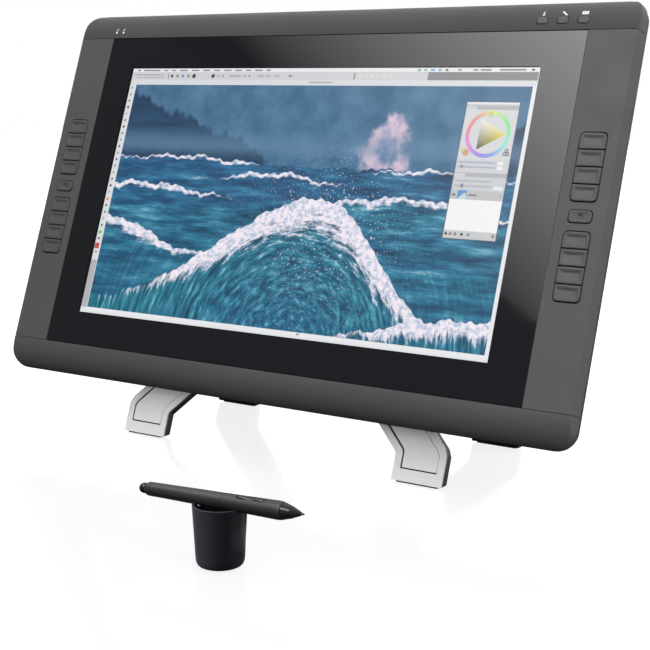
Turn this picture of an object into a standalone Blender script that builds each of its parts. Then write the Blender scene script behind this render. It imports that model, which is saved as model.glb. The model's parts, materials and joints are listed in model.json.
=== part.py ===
"""Pen drawing tablet: a wide pen display on a four-legged easel stand, with its pen and pen cup.

Metres, +Z up, +X to the user's right, +Y away from the user. The origin lies on the table, under the
middle of the whole set. The display's own pieces are modelled flat, screen up, under an empty that
leans them back: there X runs across the screen, Y up the screen and Z out of the glass.
"""

import math

import bmesh
import bpy
from mathutils import Matrix, Vector

# Placement of the set on the table
DISPLAY_Y = 0.0912
DISPLAY_Z = 0.2506
DISPLAY_INCLINE = math.radians(69.5)

# Case
CASE_HALF_WIDTH = 0.325
CASE_HALF_HEIGHT = 0.200
CORNER_RADIUS = 0.0185
WALL = 0.0025
GAP = 0.0003
FACE_HALF_WIDTH = 0.323
SEAM_HEIGHT = 0.169
ROLL_DEPTH = 0.016
SIDE_BEVEL_DEPTH = 0.012
CASE_SPLIT = -0.013
CASE_BACK = -0.048

# Glass and what lies under it
GLASS_HALF_WIDTH = 0.277
GLASS_HALF_HEIGHT = 0.1685
GLASS_TOP = -0.0004
GLASS_THICKNESS = 0.002

# Side keys
KEY_COLUMN_X = 0.2998
KEY_WIDTH = 0.0244
KEY_PITCH = 0.0155
KEY_GAP = 0.0005
KEY_GROUP_START = 0.0131
KEYS_IN_GROUP = 4
MIDDLE_KEY_HALF_HEIGHT = 0.0056
MIDDLE_KEY_WIDTH = 0.0214
KEY_TOP = 0.0009
KEY_DEPTH = 0.0065

# Buttons of the top bar and the power button
TOP_BUTTONS_X = (0.2311, 0.2510, 0.2709)
TOP_BUTTON_Y = 0.1786
TOP_BUTTON_SIZE = (0.0108, 0.0070, 0.0060)
TOP_BUTTON_STANDS_OUT = 0.0006
POWER_BUTTON_X = -0.235
POWER_BUTTON_Z = -0.0235
POWER_BUTTON_SIZE = (0.014, 0.007, 0.005)

# Status lights
LIGHTS_X = (-0.2753, -0.2656)
LIGHTS_Y = 0.1757
LIGHT_RADIUS = 0.0010

# Pocket and bearing behind the display
HUB_RADIUS = 0.062
HUB_PROUD = 0.0005
RECESS_RADIUS = 0.070
RECESS_FLOOR = -0.040
SPIGOT_RADIUS = 0.0135
HUB_BORE_RADIUS = 0.0140

# Connector bay
BAY_HALF_WIDTH = 0.060
BAY_Y = (0.090, 0.118)
BAY_FLOOR = -0.034

# Stand
LEG_FRONT = -0.052
LEG_COVER_THICKNESS = 0.002
LEG_THICKNESS = 0.010
FOOT_INNER_X = 0.1365
FOOT_OUTER_X = 0.1890
KNEE_OUTER_Y = -0.2130
KNEE_INNER_Y = -0.2210
FOOT_END_Y = -0.262
FOOT_PAD_HEIGHT = 0.0015
HINGE_Y = -0.042
HINGE_Z = -0.0745
KNUCKLE_RADIUS = 0.009
AXLE_RADIUS = 0.004
CENTRE_KNUCKLE_HALF = 0.0172
SIDE_KNUCKLE_END = 0.034
REAR_LEAN = math.radians(22.0)
LEVER_PIVOT = (0.031, -0.0665)

# Pen and cup
CUP_X = 0.1392
CUP_Y = -0.2046
CUP_HEIGHT = 0.048
CUP_RIM_RADIUS = 0.0212
CUP_FOOT_RADIUS = 0.0186
CUP_WALL = 0.0022
CUP_FLOOR = 0.006
PEN_LENGTH = 0.152
PEN_CENTRE_Z = 0.0507
PEN_TURN = math.radians(2.9)
PEN_TILT = math.radians(1.0)
SWITCH_SPAN = (0.0935, 0.1190)
SWITCH_ROLL = math.radians(14.0)
SWITCH_PIVOT_RADIUS = 0.0056
NIB_RADIUS = 0.0009


# ---------------------------------------------------------------- scene


def clear_scene():
    for obj in list(bpy.data.objects):
        bpy.data.objects.remove(obj, do_unlink=True)


def new_collection(name, hidden):
    collection = bpy.data.collections.new(name)
    bpy.context.scene.collection.children.link(collection)
    collection.hide_render = hidden
    return collection


def new_material(name, colour, roughness, metallic=0.0):
    material = bpy.data.materials.new(name)
    material.use_nodes = True
    shader = material.node_tree.nodes["Principled BSDF"]
    shader.inputs["Base Color"].default_value = (*colour, 1.0)
    shader.inputs["Roughness"].default_value = roughness
    shader.inputs["Metallic"].default_value = metallic
    return material


def new_empty(name, location, rotation, parent=None):
    empty = bpy.data.objects.new(name, None)
    empty.location = location
    empty.rotation_euler = rotation
    empty.parent = parent
    PARTS.objects.link(empty)
    return empty


clear_scene()
PARTS = new_collection("pen_drawing_tablet", False)
CUTTERS = new_collection("cutters", True)

HOUSING = new_material("graphite_housing", (0.10, 0.10, 0.105), 0.45)
BACK = new_material("black_housing", (0.02, 0.02, 0.022), 0.5)
KEYS = new_material("key_plastic", (0.08, 0.08, 0.085), 0.4)
GLASS = new_material("border_glass", (0.012, 0.012, 0.015), 0.1)
PANEL = new_material("screen_panel", (0.25, 0.40, 0.45), 0.3)
BOARD = new_material("circuit_board", (0.02, 0.12, 0.05), 0.5)
STEEL = new_material("steel", (0.55, 0.55, 0.57), 0.3, 1.0)
SILVER = new_material("silver_paint", (0.55, 0.56, 0.58), 0.35, 0.6)
RUBBER = new_material("black_rubber", (0.015, 0.015, 0.015), 0.8)
CLEAR = new_material("light_pipe", (0.8, 0.85, 0.9), 0.1)


# ---------------------------------------------------------------- shapes


def link_mesh(name, mesh, material, parent, location=(0, 0, 0)):
    obj = bpy.data.objects.new(name, mesh)
    mesh.materials.clear()
    mesh.materials.append(material)
    obj.parent = parent
    obj.location = location
    PARTS.objects.link(obj)
    return obj


def link_cutter(name, mesh, parent, location=(0, 0, 0)):
    cutter = bpy.data.objects.new("cut_" + name, mesh)
    cutter.parent = parent
    cutter.location = location
    cutter.hide_render = True
    cutter.display_type = "WIRE"
    CUTTERS.objects.link(cutter)
    return cutter


def finished_mesh(name, bm, smooth=False):
    bmesh.ops.recalc_face_normals(bm, faces=bm.faces)
    mesh = bpy.data.meshes.new(name)
    bm.to_mesh(mesh)
    bm.free()
    if smooth:
        mesh.shade_smooth()
        mesh.set_sharp_from_angle(angle=math.radians(35))
    return mesh


def box_mesh(name, low, high, round_radius=0.0, edge_bevel=0.0, segments=3):
    """A box between two corners; its four Z edges can be rounded, and then its top edges bevelled."""
    low = Vector(low)
    high = Vector(high)
    bm = bmesh.new()
    bmesh.ops.create_cube(bm, size=1.0)
    bmesh.ops.scale(bm, vec=high - low, verts=bm.verts)
    bmesh.ops.translate(bm, vec=(low + high) / 2, verts=bm.verts)
    if round_radius:
        upright = [e for e in bm.edges if abs(e.verts[0].co.z - e.verts[1].co.z) > 1e-6]
        bmesh.ops.bevel(
            bm, geom=upright, offset=round_radius, segments=segments, profile=0.5, affect="EDGES"
        )
    if edge_bevel:
        top = [e for e in bm.edges if min(v.co.z for v in e.verts) > high.z - 1e-7]
        bmesh.ops.bevel(bm, geom=top, offset=edge_bevel, segments=1, affect="EDGES")
    return finished_mesh(name, bm)


def cylinder_mesh(name, radius, low, high, axis="Z", centre=(0, 0), sides=32):
    """A cylinder along Z or X, from low to high; centre gives its other two coordinates in order."""
    bm = bmesh.new()
    turn = Matrix.Rotation(math.pi / 2, 4, "Y") if axis == "X" else Matrix.Identity(4)
    bmesh.ops.create_cone(
        bm, cap_ends=True, segments=sides, radius1=radius, radius2=radius, depth=high - low, matrix=turn
    )
    middle = (low + high) / 2
    shift = (middle, *centre) if axis == "X" else (*centre, middle)
    bmesh.ops.translate(bm, vec=shift, verts=bm.verts)
    return finished_mesh(name, bm, smooth=True)


def outline_mesh(name, points, low, high):
    """A flat plate whose outline is given in XY, between two heights: a filled 2D curve, extruded."""
    curve = bpy.data.curves.new(name, "CURVE")
    curve.dimensions = "2D"
    curve.fill_mode = "BOTH"
    curve.extrude = (high - low) / 2
    spline = curve.splines.new("POLY")
    spline.points.add(len(points) - 1)
    for target, (x, y) in zip(spline.points, points):
        target.co = (x, y, 0, 1)
    spline.use_cyclic_u = True
    return mesh_of_curve(name, curve, (low + high) / 2)


def mesh_of_curve(name, curve, height=0.0):
    holder = bpy.data.objects.new(name, curve)
    CUTTERS.objects.link(holder)
    graph = bpy.context.evaluated_depsgraph_get()
    mesh = bpy.data.meshes.new_from_object(holder.evaluated_get(graph))
    bpy.data.objects.remove(holder)
    bm = bmesh.new()
    bm.from_mesh(mesh)
    bpy.data.meshes.remove(mesh)
    bmesh.ops.remove_doubles(bm, verts=bm.verts, dist=1e-6)
    bmesh.ops.translate(bm, vec=(0, 0, height), verts=bm.verts)
    return finished_mesh(name, bm)


def rounded_ring(half_x, half_y, radius, z, steps):
    """The points of a rounded rectangle at one height, counter-clockwise from the right side."""
    ring = []
    for corner, (sx, sy) in enumerate(((1, 1), (-1, 1), (-1, -1), (1, -1))):
        for step in range(steps + 1):
            angle = math.pi / 2 * (corner + step / steps)
            x = sx * (half_x - radius) + radius * math.cos(angle)
            y = sy * (half_y - radius) + radius * math.sin(angle)
            ring.append((x, y, z))
    return ring


def loft_mesh(name, sections, steps=5):
    """A closed solid through rounded rectangles (z, half width, half height, radius), front to back."""
    bm = bmesh.new()
    rings = []
    for z, half_x, half_y, radius in sections:
        rings.append([bm.verts.new(co) for co in rounded_ring(half_x, half_y, radius, z, steps)])
    count = len(rings[0])
    for front, back in zip(rings, rings[1:]):
        for i in range(count):
            j = (i + 1) % count
            bm.faces.new((front[i], front[j], back[j], back[i]))
    bm.faces.new(rings[0])
    bm.faces.new(rings[-1])
    return finished_mesh(name, bm)


def turned_object(name, profile, material, parent, location=(0, 0, 0), steps=32):
    """A solid of revolution about Z: the profile (radius, height) runs from the top down."""
    bm = bmesh.new()
    verts = [bm.verts.new((radius, 0, height)) for radius, height in profile]
    for upper, lower in zip(verts, verts[1:]):
        bm.edges.new((upper, lower))
    mesh = bpy.data.meshes.new(name)
    bm.to_mesh(mesh)
    bm.free()
    obj = link_mesh(name, mesh, material, parent, location)
    screw = obj.modifiers.new("turn", "SCREW")
    screw.steps = steps
    screw.render_steps = steps
    screw.use_merge_vertices = True
    screw.merge_threshold = 0.00001
    screw.use_smooth_shade = True
    return obj


def cut(obj, cutter):
    modifier = obj.modifiers.new("cut " + cutter.name, "BOOLEAN")
    modifier.operation = "DIFFERENCE"
    modifier.solver = "EXACT"
    modifier.object = cutter


def keep_inside(obj, region):
    modifier = obj.modifiers.new("keep " + region.name, "BOOLEAN")
    modifier.operation = "INTERSECT"
    modifier.solver = "EXACT"
    modifier.object = region


def add_on(obj, extra):
    modifier = obj.modifiers.new("join " + extra.name, "BOOLEAN")
    modifier.operation = "UNION"
    modifier.solver = "EXACT"
    modifier.object = extra


# ---------------------------------------------------------------- display case


def roll_profile(inset, base):
    """Y and Z across the case front: flat in the middle, rolled back to the top and bottom edges."""
    steps = 6
    last = math.acos(1 + CASE_SPLIT / ROLL_DEPTH)
    half = []
    for step in range(steps + 1):
        angle = last * step / steps
        y = SEAM_HEIGHT + (CASE_HALF_HEIGHT - SEAM_HEIGHT - inset) * math.sin(angle)
        half.append((y, -inset - ROLL_DEPTH * (1 - math.cos(angle))))
    half[-1] = (half[-1][0], base)
    return [(-y, z) for y, z in half] + half[::-1]


def rolled_solid(name, inset, base, display):
    """A rounded prism whose sides flare slightly, kept under the rolled profile."""
    flare = (CASE_HALF_WIDTH - FACE_HALF_WIDTH) / SIDE_BEVEL_DEPTH
    above = 0.005
    sections = []
    for z in (above, -SIDE_BEVEL_DEPTH, base - 0.004):
        half_x = FACE_HALF_WIDTH + flare * min(-z, SIDE_BEVEL_DEPTH) - inset
        sections.append((z, half_x, CASE_HALF_HEIGHT - inset, CORNER_RADIUS - inset))
    ridge = outline_mesh(name + "_roll", roll_profile(inset, base), -0.34, 0.34)
    ridge.transform(Matrix(((0, 0, 1, 0), (1, 0, 0, 0), (0, 1, 0, 0), (0, 0, 0, 1))))
    return loft_mesh(name, sections), link_cutter(name + "_roll", ridge, display)


def key_rows():
    """(name, centre Y, half height, width) of one column of keys, from the top key down."""
    rows = []
    for i in reversed(range(KEYS_IN_GROUP)):
        y = KEY_GROUP_START + KEY_PITCH * (i + 0.5)
        rows.append((f"upper_{KEYS_IN_GROUP - i}", y, KEY_PITCH / 2, KEY_WIDTH))
    rows.append(("middle", 0.0, MIDDLE_KEY_HALF_HEIGHT, MIDDLE_KEY_WIDTH))
    for i in range(KEYS_IN_GROUP):
        y = -KEY_GROUP_START - KEY_PITCH * (i + 0.5)
        rows.append((f"lower_{i + 1}", y, KEY_PITCH / 2, KEY_WIDTH))
    return rows


def front_housing(display):
    """Top bar, bottom bar and the two key panels, cut from one rolled shell."""
    reach = 0.34
    inside, inside_roll = rolled_solid("front_inside", WALL, CASE_SPLIT - WALL, display)
    inner = link_cutter("front_inside", inside, display)
    keep_inside(inner, inside_roll)
    regions = {
        "top_bar": ((-reach, SEAM_HEIGHT + GAP / 2, -0.02), (reach, 0.21, 0.01)),
        "bottom_bar": ((-reach, -0.21, -0.02), (reach, -SEAM_HEIGHT - GAP / 2, 0.01)),
        "left_key_panel": (
            (-reach, -SEAM_HEIGHT + GAP / 2, -0.02),
            (-GLASS_HALF_WIDTH - GAP, SEAM_HEIGHT - GAP / 2, 0.01),
        ),
        "right_key_panel": (
            (GLASS_HALF_WIDTH + GAP, -SEAM_HEIGHT + GAP / 2, -0.02),
            (reach, SEAM_HEIGHT - GAP / 2, 0.01),
        ),
    }
    pieces = {}
    for name, (low, high) in regions.items():
        outside, outside_roll = rolled_solid(name, 0.0, CASE_SPLIT, display)
        piece = link_mesh(name, outside, HOUSING, display)
        keep_inside(piece, outside_roll)
        cut(piece, inner)
        keep_inside(piece, link_cutter(name + "_region", box_mesh(name + "_region", low, high), display))
        pieces[name] = piece
    return pieces


def key_openings(panel, side, display):
    """One opening for each group of four keys and one for the middle key."""
    group_end = KEY_GROUP_START + KEY_PITCH * KEYS_IN_GROUP
    spans = (
        (KEY_GROUP_START - GAP, group_end + GAP, KEY_WIDTH),
        (-MIDDLE_KEY_HALF_HEIGHT - GAP, MIDDLE_KEY_HALF_HEIGHT + GAP, MIDDLE_KEY_WIDTH),
        (-group_end - GAP, -KEY_GROUP_START + GAP, KEY_WIDTH),
    )
    for low, high, width in spans:
        half_width = width / 2 + GAP
        mesh = box_mesh(
            "key_opening",
            (side * KEY_COLUMN_X - half_width, low, -0.02),
            (side * KEY_COLUMN_X + half_width, high, 0.01),
            round_radius=0.0022,
        )
        cut(panel, link_cutter("key_opening", mesh, display))


def side_keys(side, side_name, display):
    for row, centre_y, half_height, width in key_rows():
        half_width = width / 2
        reach = half_height - KEY_GAP / 2
        mesh = box_mesh(
            row,
            (-half_width, -reach, -KEY_DEPTH),
            (half_width, reach, 0.0),
            round_radius=0.0018,
            edge_bevel=0.0005,
        )
        link_mesh(f"{side_name}_key_{row}", mesh, KEYS, display, (side * KEY_COLUMN_X, centre_y, KEY_TOP))


def roll_height(y):
    """Height of the rolled face of the top bar at one distance up the screen."""
    share = (y - SEAM_HEIGHT) / (CASE_HALF_HEIGHT - SEAM_HEIGHT)
    return -ROLL_DEPTH * (1 - math.sqrt(1 - share**2))


def top_buttons(top_bar, display):
    width, height, depth = TOP_BUTTON_SIZE
    top = roll_height(TOP_BUTTON_Y) + TOP_BUTTON_STANDS_OUT
    for i, x in enumerate(TOP_BUTTONS_X):
        half = Vector((width / 2, height / 2, 0))
        mesh = box_mesh(
            "top_button", (-half.x, -half.y, -depth), (half.x, half.y, 0), 0.0025, 0.0005
        )
        link_mesh(f"top_button_{i + 1}", mesh, KEYS, display, (x, TOP_BUTTON_Y, top))
        opening = box_mesh(
            "top_button_opening",
            (-half.x - GAP, -half.y - GAP, -0.01),
            (half.x + GAP, half.y + GAP, 0.01),
            0.0028,
        )
        cut(top_bar, link_cutter("top_button", opening, display, (x, TOP_BUTTON_Y, 0)))


def status_light_pipe(top_bar, display):
    """One clear moulding with two prongs that end flush with the top bar."""
    top = roll_height(LIGHTS_Y) + 0.0002
    base_low = (LIGHTS_X[0] - 0.003, LIGHTS_Y - 0.002, -0.0075)
    base_high = (LIGHTS_X[1] + 0.003, LIGHTS_Y + 0.002, -0.0055)
    pipe = link_mesh("status_light_pipe", box_mesh("light_pipe", base_low, base_high), CLEAR, display)
    for x in LIGHTS_X:
        prong = cylinder_mesh("prong", LIGHT_RADIUS, -0.006, top, centre=(x, LIGHTS_Y), sides=16)
        add_on(pipe, link_cutter("prong", prong, display))
        hole = cylinder_mesh(
            "light_hole", LIGHT_RADIUS + GAP, -0.01, 0.01, centre=(x, LIGHTS_Y), sides=16
        )
        cut(top_bar, link_cutter("light_hole", hole, display))


def rear_cover(display):
    """The back shell, with the bearing's round pocket, the connector bay and the strip pockets."""
    half_x, half_y, radius = CASE_HALF_WIDTH, CASE_HALF_HEIGHT, CORNER_RADIUS
    outer = [
        (CASE_SPLIT - GAP, half_x - 0.0004, half_y - 0.0002, radius),
        (-0.020, half_x - 0.0012, half_y - 0.0010, radius),
        (-0.034, half_x - 0.010, half_y - 0.009, radius + 0.002),
        (-0.0455, half_x - 0.028, half_y - 0.028, radius + 0.006),
        (CASE_BACK, half_x - 0.033, half_y - 0.033, radius + 0.004),
    ]
    inner = [
        (CASE_SPLIT + WALL, half_x - WALL, half_y - WALL, radius - WALL),
        (-0.020, half_x - 0.0012 - WALL, half_y - 0.0010 - WALL, radius - WALL),
        (-0.033, half_x - 0.010 - WALL, half_y - 0.009 - WALL, radius),
        (-0.0435, half_x - 0.028 - WALL, half_y - 0.028 - WALL, radius + 0.004),
        (CASE_BACK + WALL, half_x - 0.033 - WALL, half_y - 0.033 - WALL, radius + 0.002),
    ]
    cover = link_mesh("rear_cover", loft_mesh("rear_cover", outer), BACK, display)
    inside = link_cutter("back_inside", loft_mesh("back_inside", inner), display)
    boss = cylinder_mesh("pocket_boss", RECESS_RADIUS + WALL, -0.06, RECESS_FLOOR + WALL, sides=48)
    cut(inside, link_cutter("pocket_boss", boss, display))
    bay_boss = box_mesh(
        "bay_boss",
        (-BAY_HALF_WIDTH - WALL, BAY_Y[0] - WALL, -0.06),
        (BAY_HALF_WIDTH + WALL, BAY_Y[1] + WALL, BAY_FLOOR + WALL),
    )
    cut(inside, link_cutter("bay_boss", bay_boss, display))
    cut(cover, inside)
    pocket = cylinder_mesh("pocket", RECESS_RADIUS, -0.06, RECESS_FLOOR, sides=48)
    cut(cover, link_cutter("pocket", pocket, display))
    bay = box_mesh("bay", (-BAY_HALF_WIDTH, BAY_Y[0], -0.06), (BAY_HALF_WIDTH, BAY_Y[1], BAY_FLOOR))
    cut(cover, link_cutter("bay", bay, display))
    return cover


def touch_strips(cover, display):
    """Two finger strips set in shallow pockets near the side edges of the back."""
    half_width, half_height = 0.0075, 0.050
    for side, side_name in ((-1, "left"), (1, "right")):
        x = side * 0.274
        mesh = box_mesh(
            "touch_strip", (-half_width, -half_height, -0.0004), (half_width, half_height, 0.0009), 0.003
        )
        link_mesh(f"{side_name}_touch_strip", mesh, KEYS, display, (x, 0, CASE_BACK))
        pocket = box_mesh(
            "strip_pocket",
            (-half_width - GAP, -half_height - GAP, -0.01),
            (half_width + GAP, half_height + GAP, 0.0009 + GAP),
            0.0033,
        )
        cut(cover, link_cutter("strip_pocket", pocket, display, (x, 0, CASE_BACK)))


def power_button(cover, display):
    """It comes through the top wall, so it is modelled upright and pushed down the screen."""
    width, thick, depth = POWER_BUTTON_SIZE
    low = (-width / 2, -depth, -thick / 2)
    high = (width / 2, 0.0006, thick / 2)
    wall_y = CASE_HALF_HEIGHT - 0.0031
    origin = (POWER_BUTTON_X, wall_y, POWER_BUTTON_Z)
    link_mesh("power_button", box_mesh("power_button", low, high), KEYS, display, origin)
    opening = box_mesh(
        "power_opening",
        (-width / 2 - GAP, -0.02, -thick / 2 - GAP),
        (width / 2 + GAP, 0.02, thick / 2 + GAP),
    )
    cut(cover, link_cutter("power_opening", opening, display, origin))


def screen_stack(display):
    """Cover glass, panel, backlight, pen sensor, shield and main board, glued front to back."""
    layers = (
        ("cover_glass", GLASS_HALF_WIDTH, GLASS_HALF_HEIGHT, GLASS_THICKNESS, GLASS, 0.0015),
        ("lcd_panel", 0.2478, 0.1461, 0.0026, PANEL, 0.0),
        ("backlight_unit", 0.2478, 0.1461, 0.0076, SILVER, 0.0),
        ("pen_sensor_board", 0.2440, 0.1400, 0.0016, BOARD, 0.0),
        ("shield_plate", 0.2478, 0.1440, 0.0008, STEEL, 0.0),
        ("main_board", 0.1000, 0.0600, 0.0016, BOARD, 0.0),
    )
    top = GLASS_TOP
    for name, half_x, half_y, thickness, material, radius in layers:
        low = (-half_x, -half_y, top - thickness)
        link_mesh(name, box_mesh(name, low, (half_x, half_y, top), radius), material, display)
        top -= thickness + GAP


def sockets(display):
    """Power, video and USB sockets standing on the floor of the connector bay, open to the back."""
    y = (BAY_Y[0] + BAY_Y[1]) / 2
    top = BAY_FLOOR - GAP
    bottom = BAY_FLOOR - 0.010
    floor = top - 0.002
    for name, x, half, mouth in (
        ("video_socket", 0.020, (0.0215, 0.0070), (0.0180, 0.0040)),
        ("usb_socket", -0.017, (0.0075, 0.0070), (0.0045, 0.0042)),
    ):
        low = (x - half[0], y - half[1], bottom)
        socket = link_mesh(name, box_mesh(name, low, (x + half[0], y + half[1], top)), STEEL, display)
        hollow = box_mesh(
            name + "_mouth", (x - mouth[0], y - mouth[1], bottom - 0.01), (x + mouth[0], y + mouth[1], floor)
        )
        cut(socket, link_cutter(name + "_mouth", hollow, display))
    x = -0.042
    block = box_mesh("power_socket", (x - 0.0065, y - 0.0065, bottom), (x + 0.0065, y + 0.0065, top))
    socket = link_mesh("power_socket", block, BACK, display)
    hollow = cylinder_mesh("power_mouth", 0.0048, bottom - 0.01, floor, centre=(x, y), sides=24)
    cut(socket, link_cutter("power_mouth", hollow, display))


def turning_mount(display, stand):
    """The display's plate and spigot, the ring it turns on and the cap that holds it to the stand."""
    plate_top = RECESS_FLOOR - GAP
    plate_bottom = plate_top - 0.003
    cap_top = LEG_FRONT - LEG_THICKNESS - HUB_PROUD - GAP
    plate = link_mesh(
        "mount_plate", cylinder_mesh("mount_plate", 0.066, plate_bottom, plate_top, sides=48), STEEL, display
    )
    spigot = cylinder_mesh("spigot", SPIGOT_RADIUS, cap_top + GAP, plate_top - 0.001)
    add_on(plate, link_cutter("spigot", spigot, display))
    ring = link_mesh(
        "swivel_ring",
        cylinder_mesh("swivel_ring", 0.056, LEG_FRONT + 2 * GAP, plate_bottom - GAP, sides=48),
        BACK,
        stand,
    )
    hole = cylinder_mesh("swivel_hole", 0.040, -0.06, -0.03, sides=48)
    cut(ring, link_cutter("swivel_hole", hole, stand))
    cap = cylinder_mesh("hub_cap", 0.020, cap_top - 0.004, cap_top)
    link_mesh("hub_cap", cap, STEEL, display)


# ---------------------------------------------------------------- stand


def arc_points(radius, start, end, steps):
    return [
        (radius * math.cos(start + (end - start) * i / steps), radius * math.sin(start + (end - start) * i / steps))
        for i in range(steps + 1)
    ]


def leg_lines():
    """Where the outer and inner edges of the 45 degree legs would cross the centre line."""
    outer = FOOT_OUTER_X + KNEE_OUTER_Y
    inner = FOOT_INNER_X + KNEE_INNER_Y
    return outer, inner


def front_leg_frame(display_frame):
    """Hub disc and two legs that run outward at 45 degrees, then straight down to the table."""
    outer, inner = leg_lines()
    neck_radius = HUB_RADIUS - 0.0015
    meet = (outer + math.sqrt(2 * neck_radius**2 - outer**2)) / 2
    start = math.atan2(outer - meet, meet)
    right = [
        (FOOT_OUTER_X, FOOT_END_Y),
        (FOOT_OUTER_X, KNEE_OUTER_Y - 0.004),
        (FOOT_OUTER_X - 0.003, KNEE_OUTER_Y + 0.003),
    ]
    hub = arc_points(neck_radius, start, math.pi - start, 16)
    left = [(-x, y) for x, y in reversed(right)]
    between = [
        (-FOOT_INNER_X, FOOT_END_Y),
        (-FOOT_INNER_X, KNEE_INNER_Y),
        (0.0, inner),
        (FOOT_INNER_X, KNEE_INNER_Y),
        (FOOT_INNER_X, FOOT_END_Y),
    ]
    back = LEG_FRONT - LEG_THICKNESS
    core_front = LEG_FRONT - LEG_COVER_THICKNESS - GAP
    outline = right + hub + left + between
    core = link_mesh("front_legs", outline_mesh("front_legs", outline, back, core_front), BACK, display_frame)
    disc = cylinder_mesh("hub_disc", HUB_RADIUS, back - HUB_PROUD, LEG_FRONT, sides=60)
    add_on(core, link_cutter("hub_disc", disc, display_frame))
    for side in (-1, 1):
        low, high = sorted((side * (CENTRE_KNUCKLE_HALF + GAP), side * SIDE_KNUCKLE_END))
        web = box_mesh(
            "knuckle_web",
            (low + 0.0004, HINGE_Y - KNUCKLE_RADIUS * 0.97, HINGE_Z),
            (high - 0.0004, HINGE_Y + KNUCKLE_RADIUS * 0.97, back + 0.002),
        )
        add_on(core, link_cutter("knuckle_web", web, display_frame))
        knuckle = cylinder_mesh("knuckle", KNUCKLE_RADIUS, low, high, "X", (HINGE_Y, HINGE_Z), 24)
        add_on(core, link_cutter("knuckle", knuckle, display_frame))
        low, high = sorted((side * 0.0205, side * 0.0255))
        lug = box_mesh("lever_lug", (low, 0.026, -0.071), (high, 0.036, back + 0.002))
        add_on(core, link_cutter("lever_lug", lug, display_frame))
    bore = cylinder_mesh("axle_bore", AXLE_RADIUS + 0.0001, -0.05, 0.05, "X", (HINGE_Y, HINGE_Z), 24)
    cut(core, link_cutter("axle_bore", bore, display_frame))
    hub_bore = cylinder_mesh("hub_bore", HUB_BORE_RADIUS, -0.07, -0.04)
    cut(core, link_cutter("hub_bore", hub_bore, display_frame))
    pin_bore = cylinder_mesh("pin_bore", 0.0024, -0.03, 0.03, "X", LEVER_PIVOT, 16)
    cut(core, link_cutter("pin_bore", pin_bore, display_frame))
    cut(core, FLOOR_CUT)
    leg_outline = right + [(HUB_RADIUS * 0.5, outer - HUB_RADIUS * 0.5), (0.004, outer - 0.004), (0.004, inner - 0.004)]
    leg_outline += between[-2:]
    clear_of_hub = link_cutter(
        "hub_clearance", cylinder_mesh("hub_clearance", HUB_RADIUS + GAP, -0.07, -0.04, sides=60), display_frame
    )
    for side, side_name in ((-1, "left"), (1, "right")):
        outline = [(side * x, y) for x, y in leg_outline]
        cover = link_mesh(
            f"{side_name}_leg_cover",
            outline_mesh("leg_cover", outline, LEG_FRONT - LEG_COVER_THICKNESS, LEG_FRONT),
            SILVER,
            display_frame,
        )
        cut(cover, clear_of_hub)
        cut(cover, FLOOR_CUT)
    return core


def rear_leg_frame(rear_frame):
    """The swinging pair of legs: in this frame the hinge axis is X and the legs run down -Y."""
    outer, inner = leg_lines()
    outer_start = outer - HINGE_Y
    inner_start = inner - HINGE_Y
    knee_outer = KNEE_OUTER_Y - HINGE_Y
    knee_inner = KNEE_INNER_Y - HINGE_Y
    neck = -0.012
    shoulder = outer_start - neck
    foot_end = FOOT_END_Y - HINGE_Y
    right = [
        (FOOT_OUTER_X, foot_end),
        (FOOT_OUTER_X, knee_outer - 0.004),
        (FOOT_OUTER_X - 0.003, knee_outer + 0.003),
        (shoulder, neck),
        (CENTRE_KNUCKLE_HALF - GAP, neck),
    ]
    between = [
        (-FOOT_INNER_X, foot_end),
        (-FOOT_INNER_X, knee_inner),
        (0.0, inner_start),
        (FOOT_INNER_X, knee_inner),
        (FOOT_INNER_X, foot_end),
    ]
    half = LEG_THICKNESS / 2
    outline = right + [(CENTRE_KNUCKLE_HALF - GAP, 0.0)]
    outline += [(-x, y) for x, y in reversed(outline)] + between
    core_back = -half + LEG_COVER_THICKNESS + GAP
    core = link_mesh("rear_legs", outline_mesh("rear_legs", outline, core_back, half), BACK, rear_frame)
    knuckle_end = CENTRE_KNUCKLE_HALF - GAP
    knuckle = cylinder_mesh("rear_knuckle", KNUCKLE_RADIUS, -knuckle_end, knuckle_end, "X", sides=24)
    add_on(core, link_cutter("rear_knuckle", knuckle, rear_frame))
    bore = cylinder_mesh("rear_bore", AXLE_RADIUS + 0.0002, -0.05, 0.05, "X", sides=24)
    cut(core, link_cutter("rear_bore", bore, rear_frame))
    cut(core, FLOOR_CUT)
    cover_top = neck - 0.004
    right[3] = (outer_start - cover_top, cover_top)
    cover_outline = right[:4] + [(-x, y) for x, y in reversed(right[:4])] + between
    cover = link_mesh(
        "rear_leg_cover",
        outline_mesh("rear_leg_cover", cover_outline, -half, -half + LEG_COVER_THICKNESS),
        SILVER,
        rear_frame,
    )
    cut(cover, FLOOR_CUT)


def foot_pads(display_frame, rear_frame):
    """A rubber pad under each leg, level with the table."""
    inset = 0.004
    for frame, frame_name, middle in (
        (display_frame, "front", LEG_FRONT - LEG_THICKNESS / 2),
        (rear_frame, "rear", 0.0),
    ):
        matrix = frame.matrix_world
        down = matrix.to_3x3() @ Vector((0, -1, 0))
        start = matrix @ Vector((0, 0, middle))
        reach = (FOOT_PAD_HEIGHT / 2 - start.z) / down.z
        y = (start + down * reach).y
        for side, side_name in ((-1, "left"), (1, "right")):
            centre_x = side * (FOOT_INNER_X + FOOT_OUTER_X) / 2
            half_x = (FOOT_OUTER_X - FOOT_INNER_X) / 2 - inset
            half_y = LEG_THICKNESS / 2 - 0.0010
            pad = box_mesh("foot_pad", (-half_x, -half_y, 0), (half_x, half_y, FOOT_PAD_HEIGHT), 0.002)
            link_mesh(f"{frame_name}_{side_name}_foot_pad", pad, RUBBER, None, (centre_x, y, 0))


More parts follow.
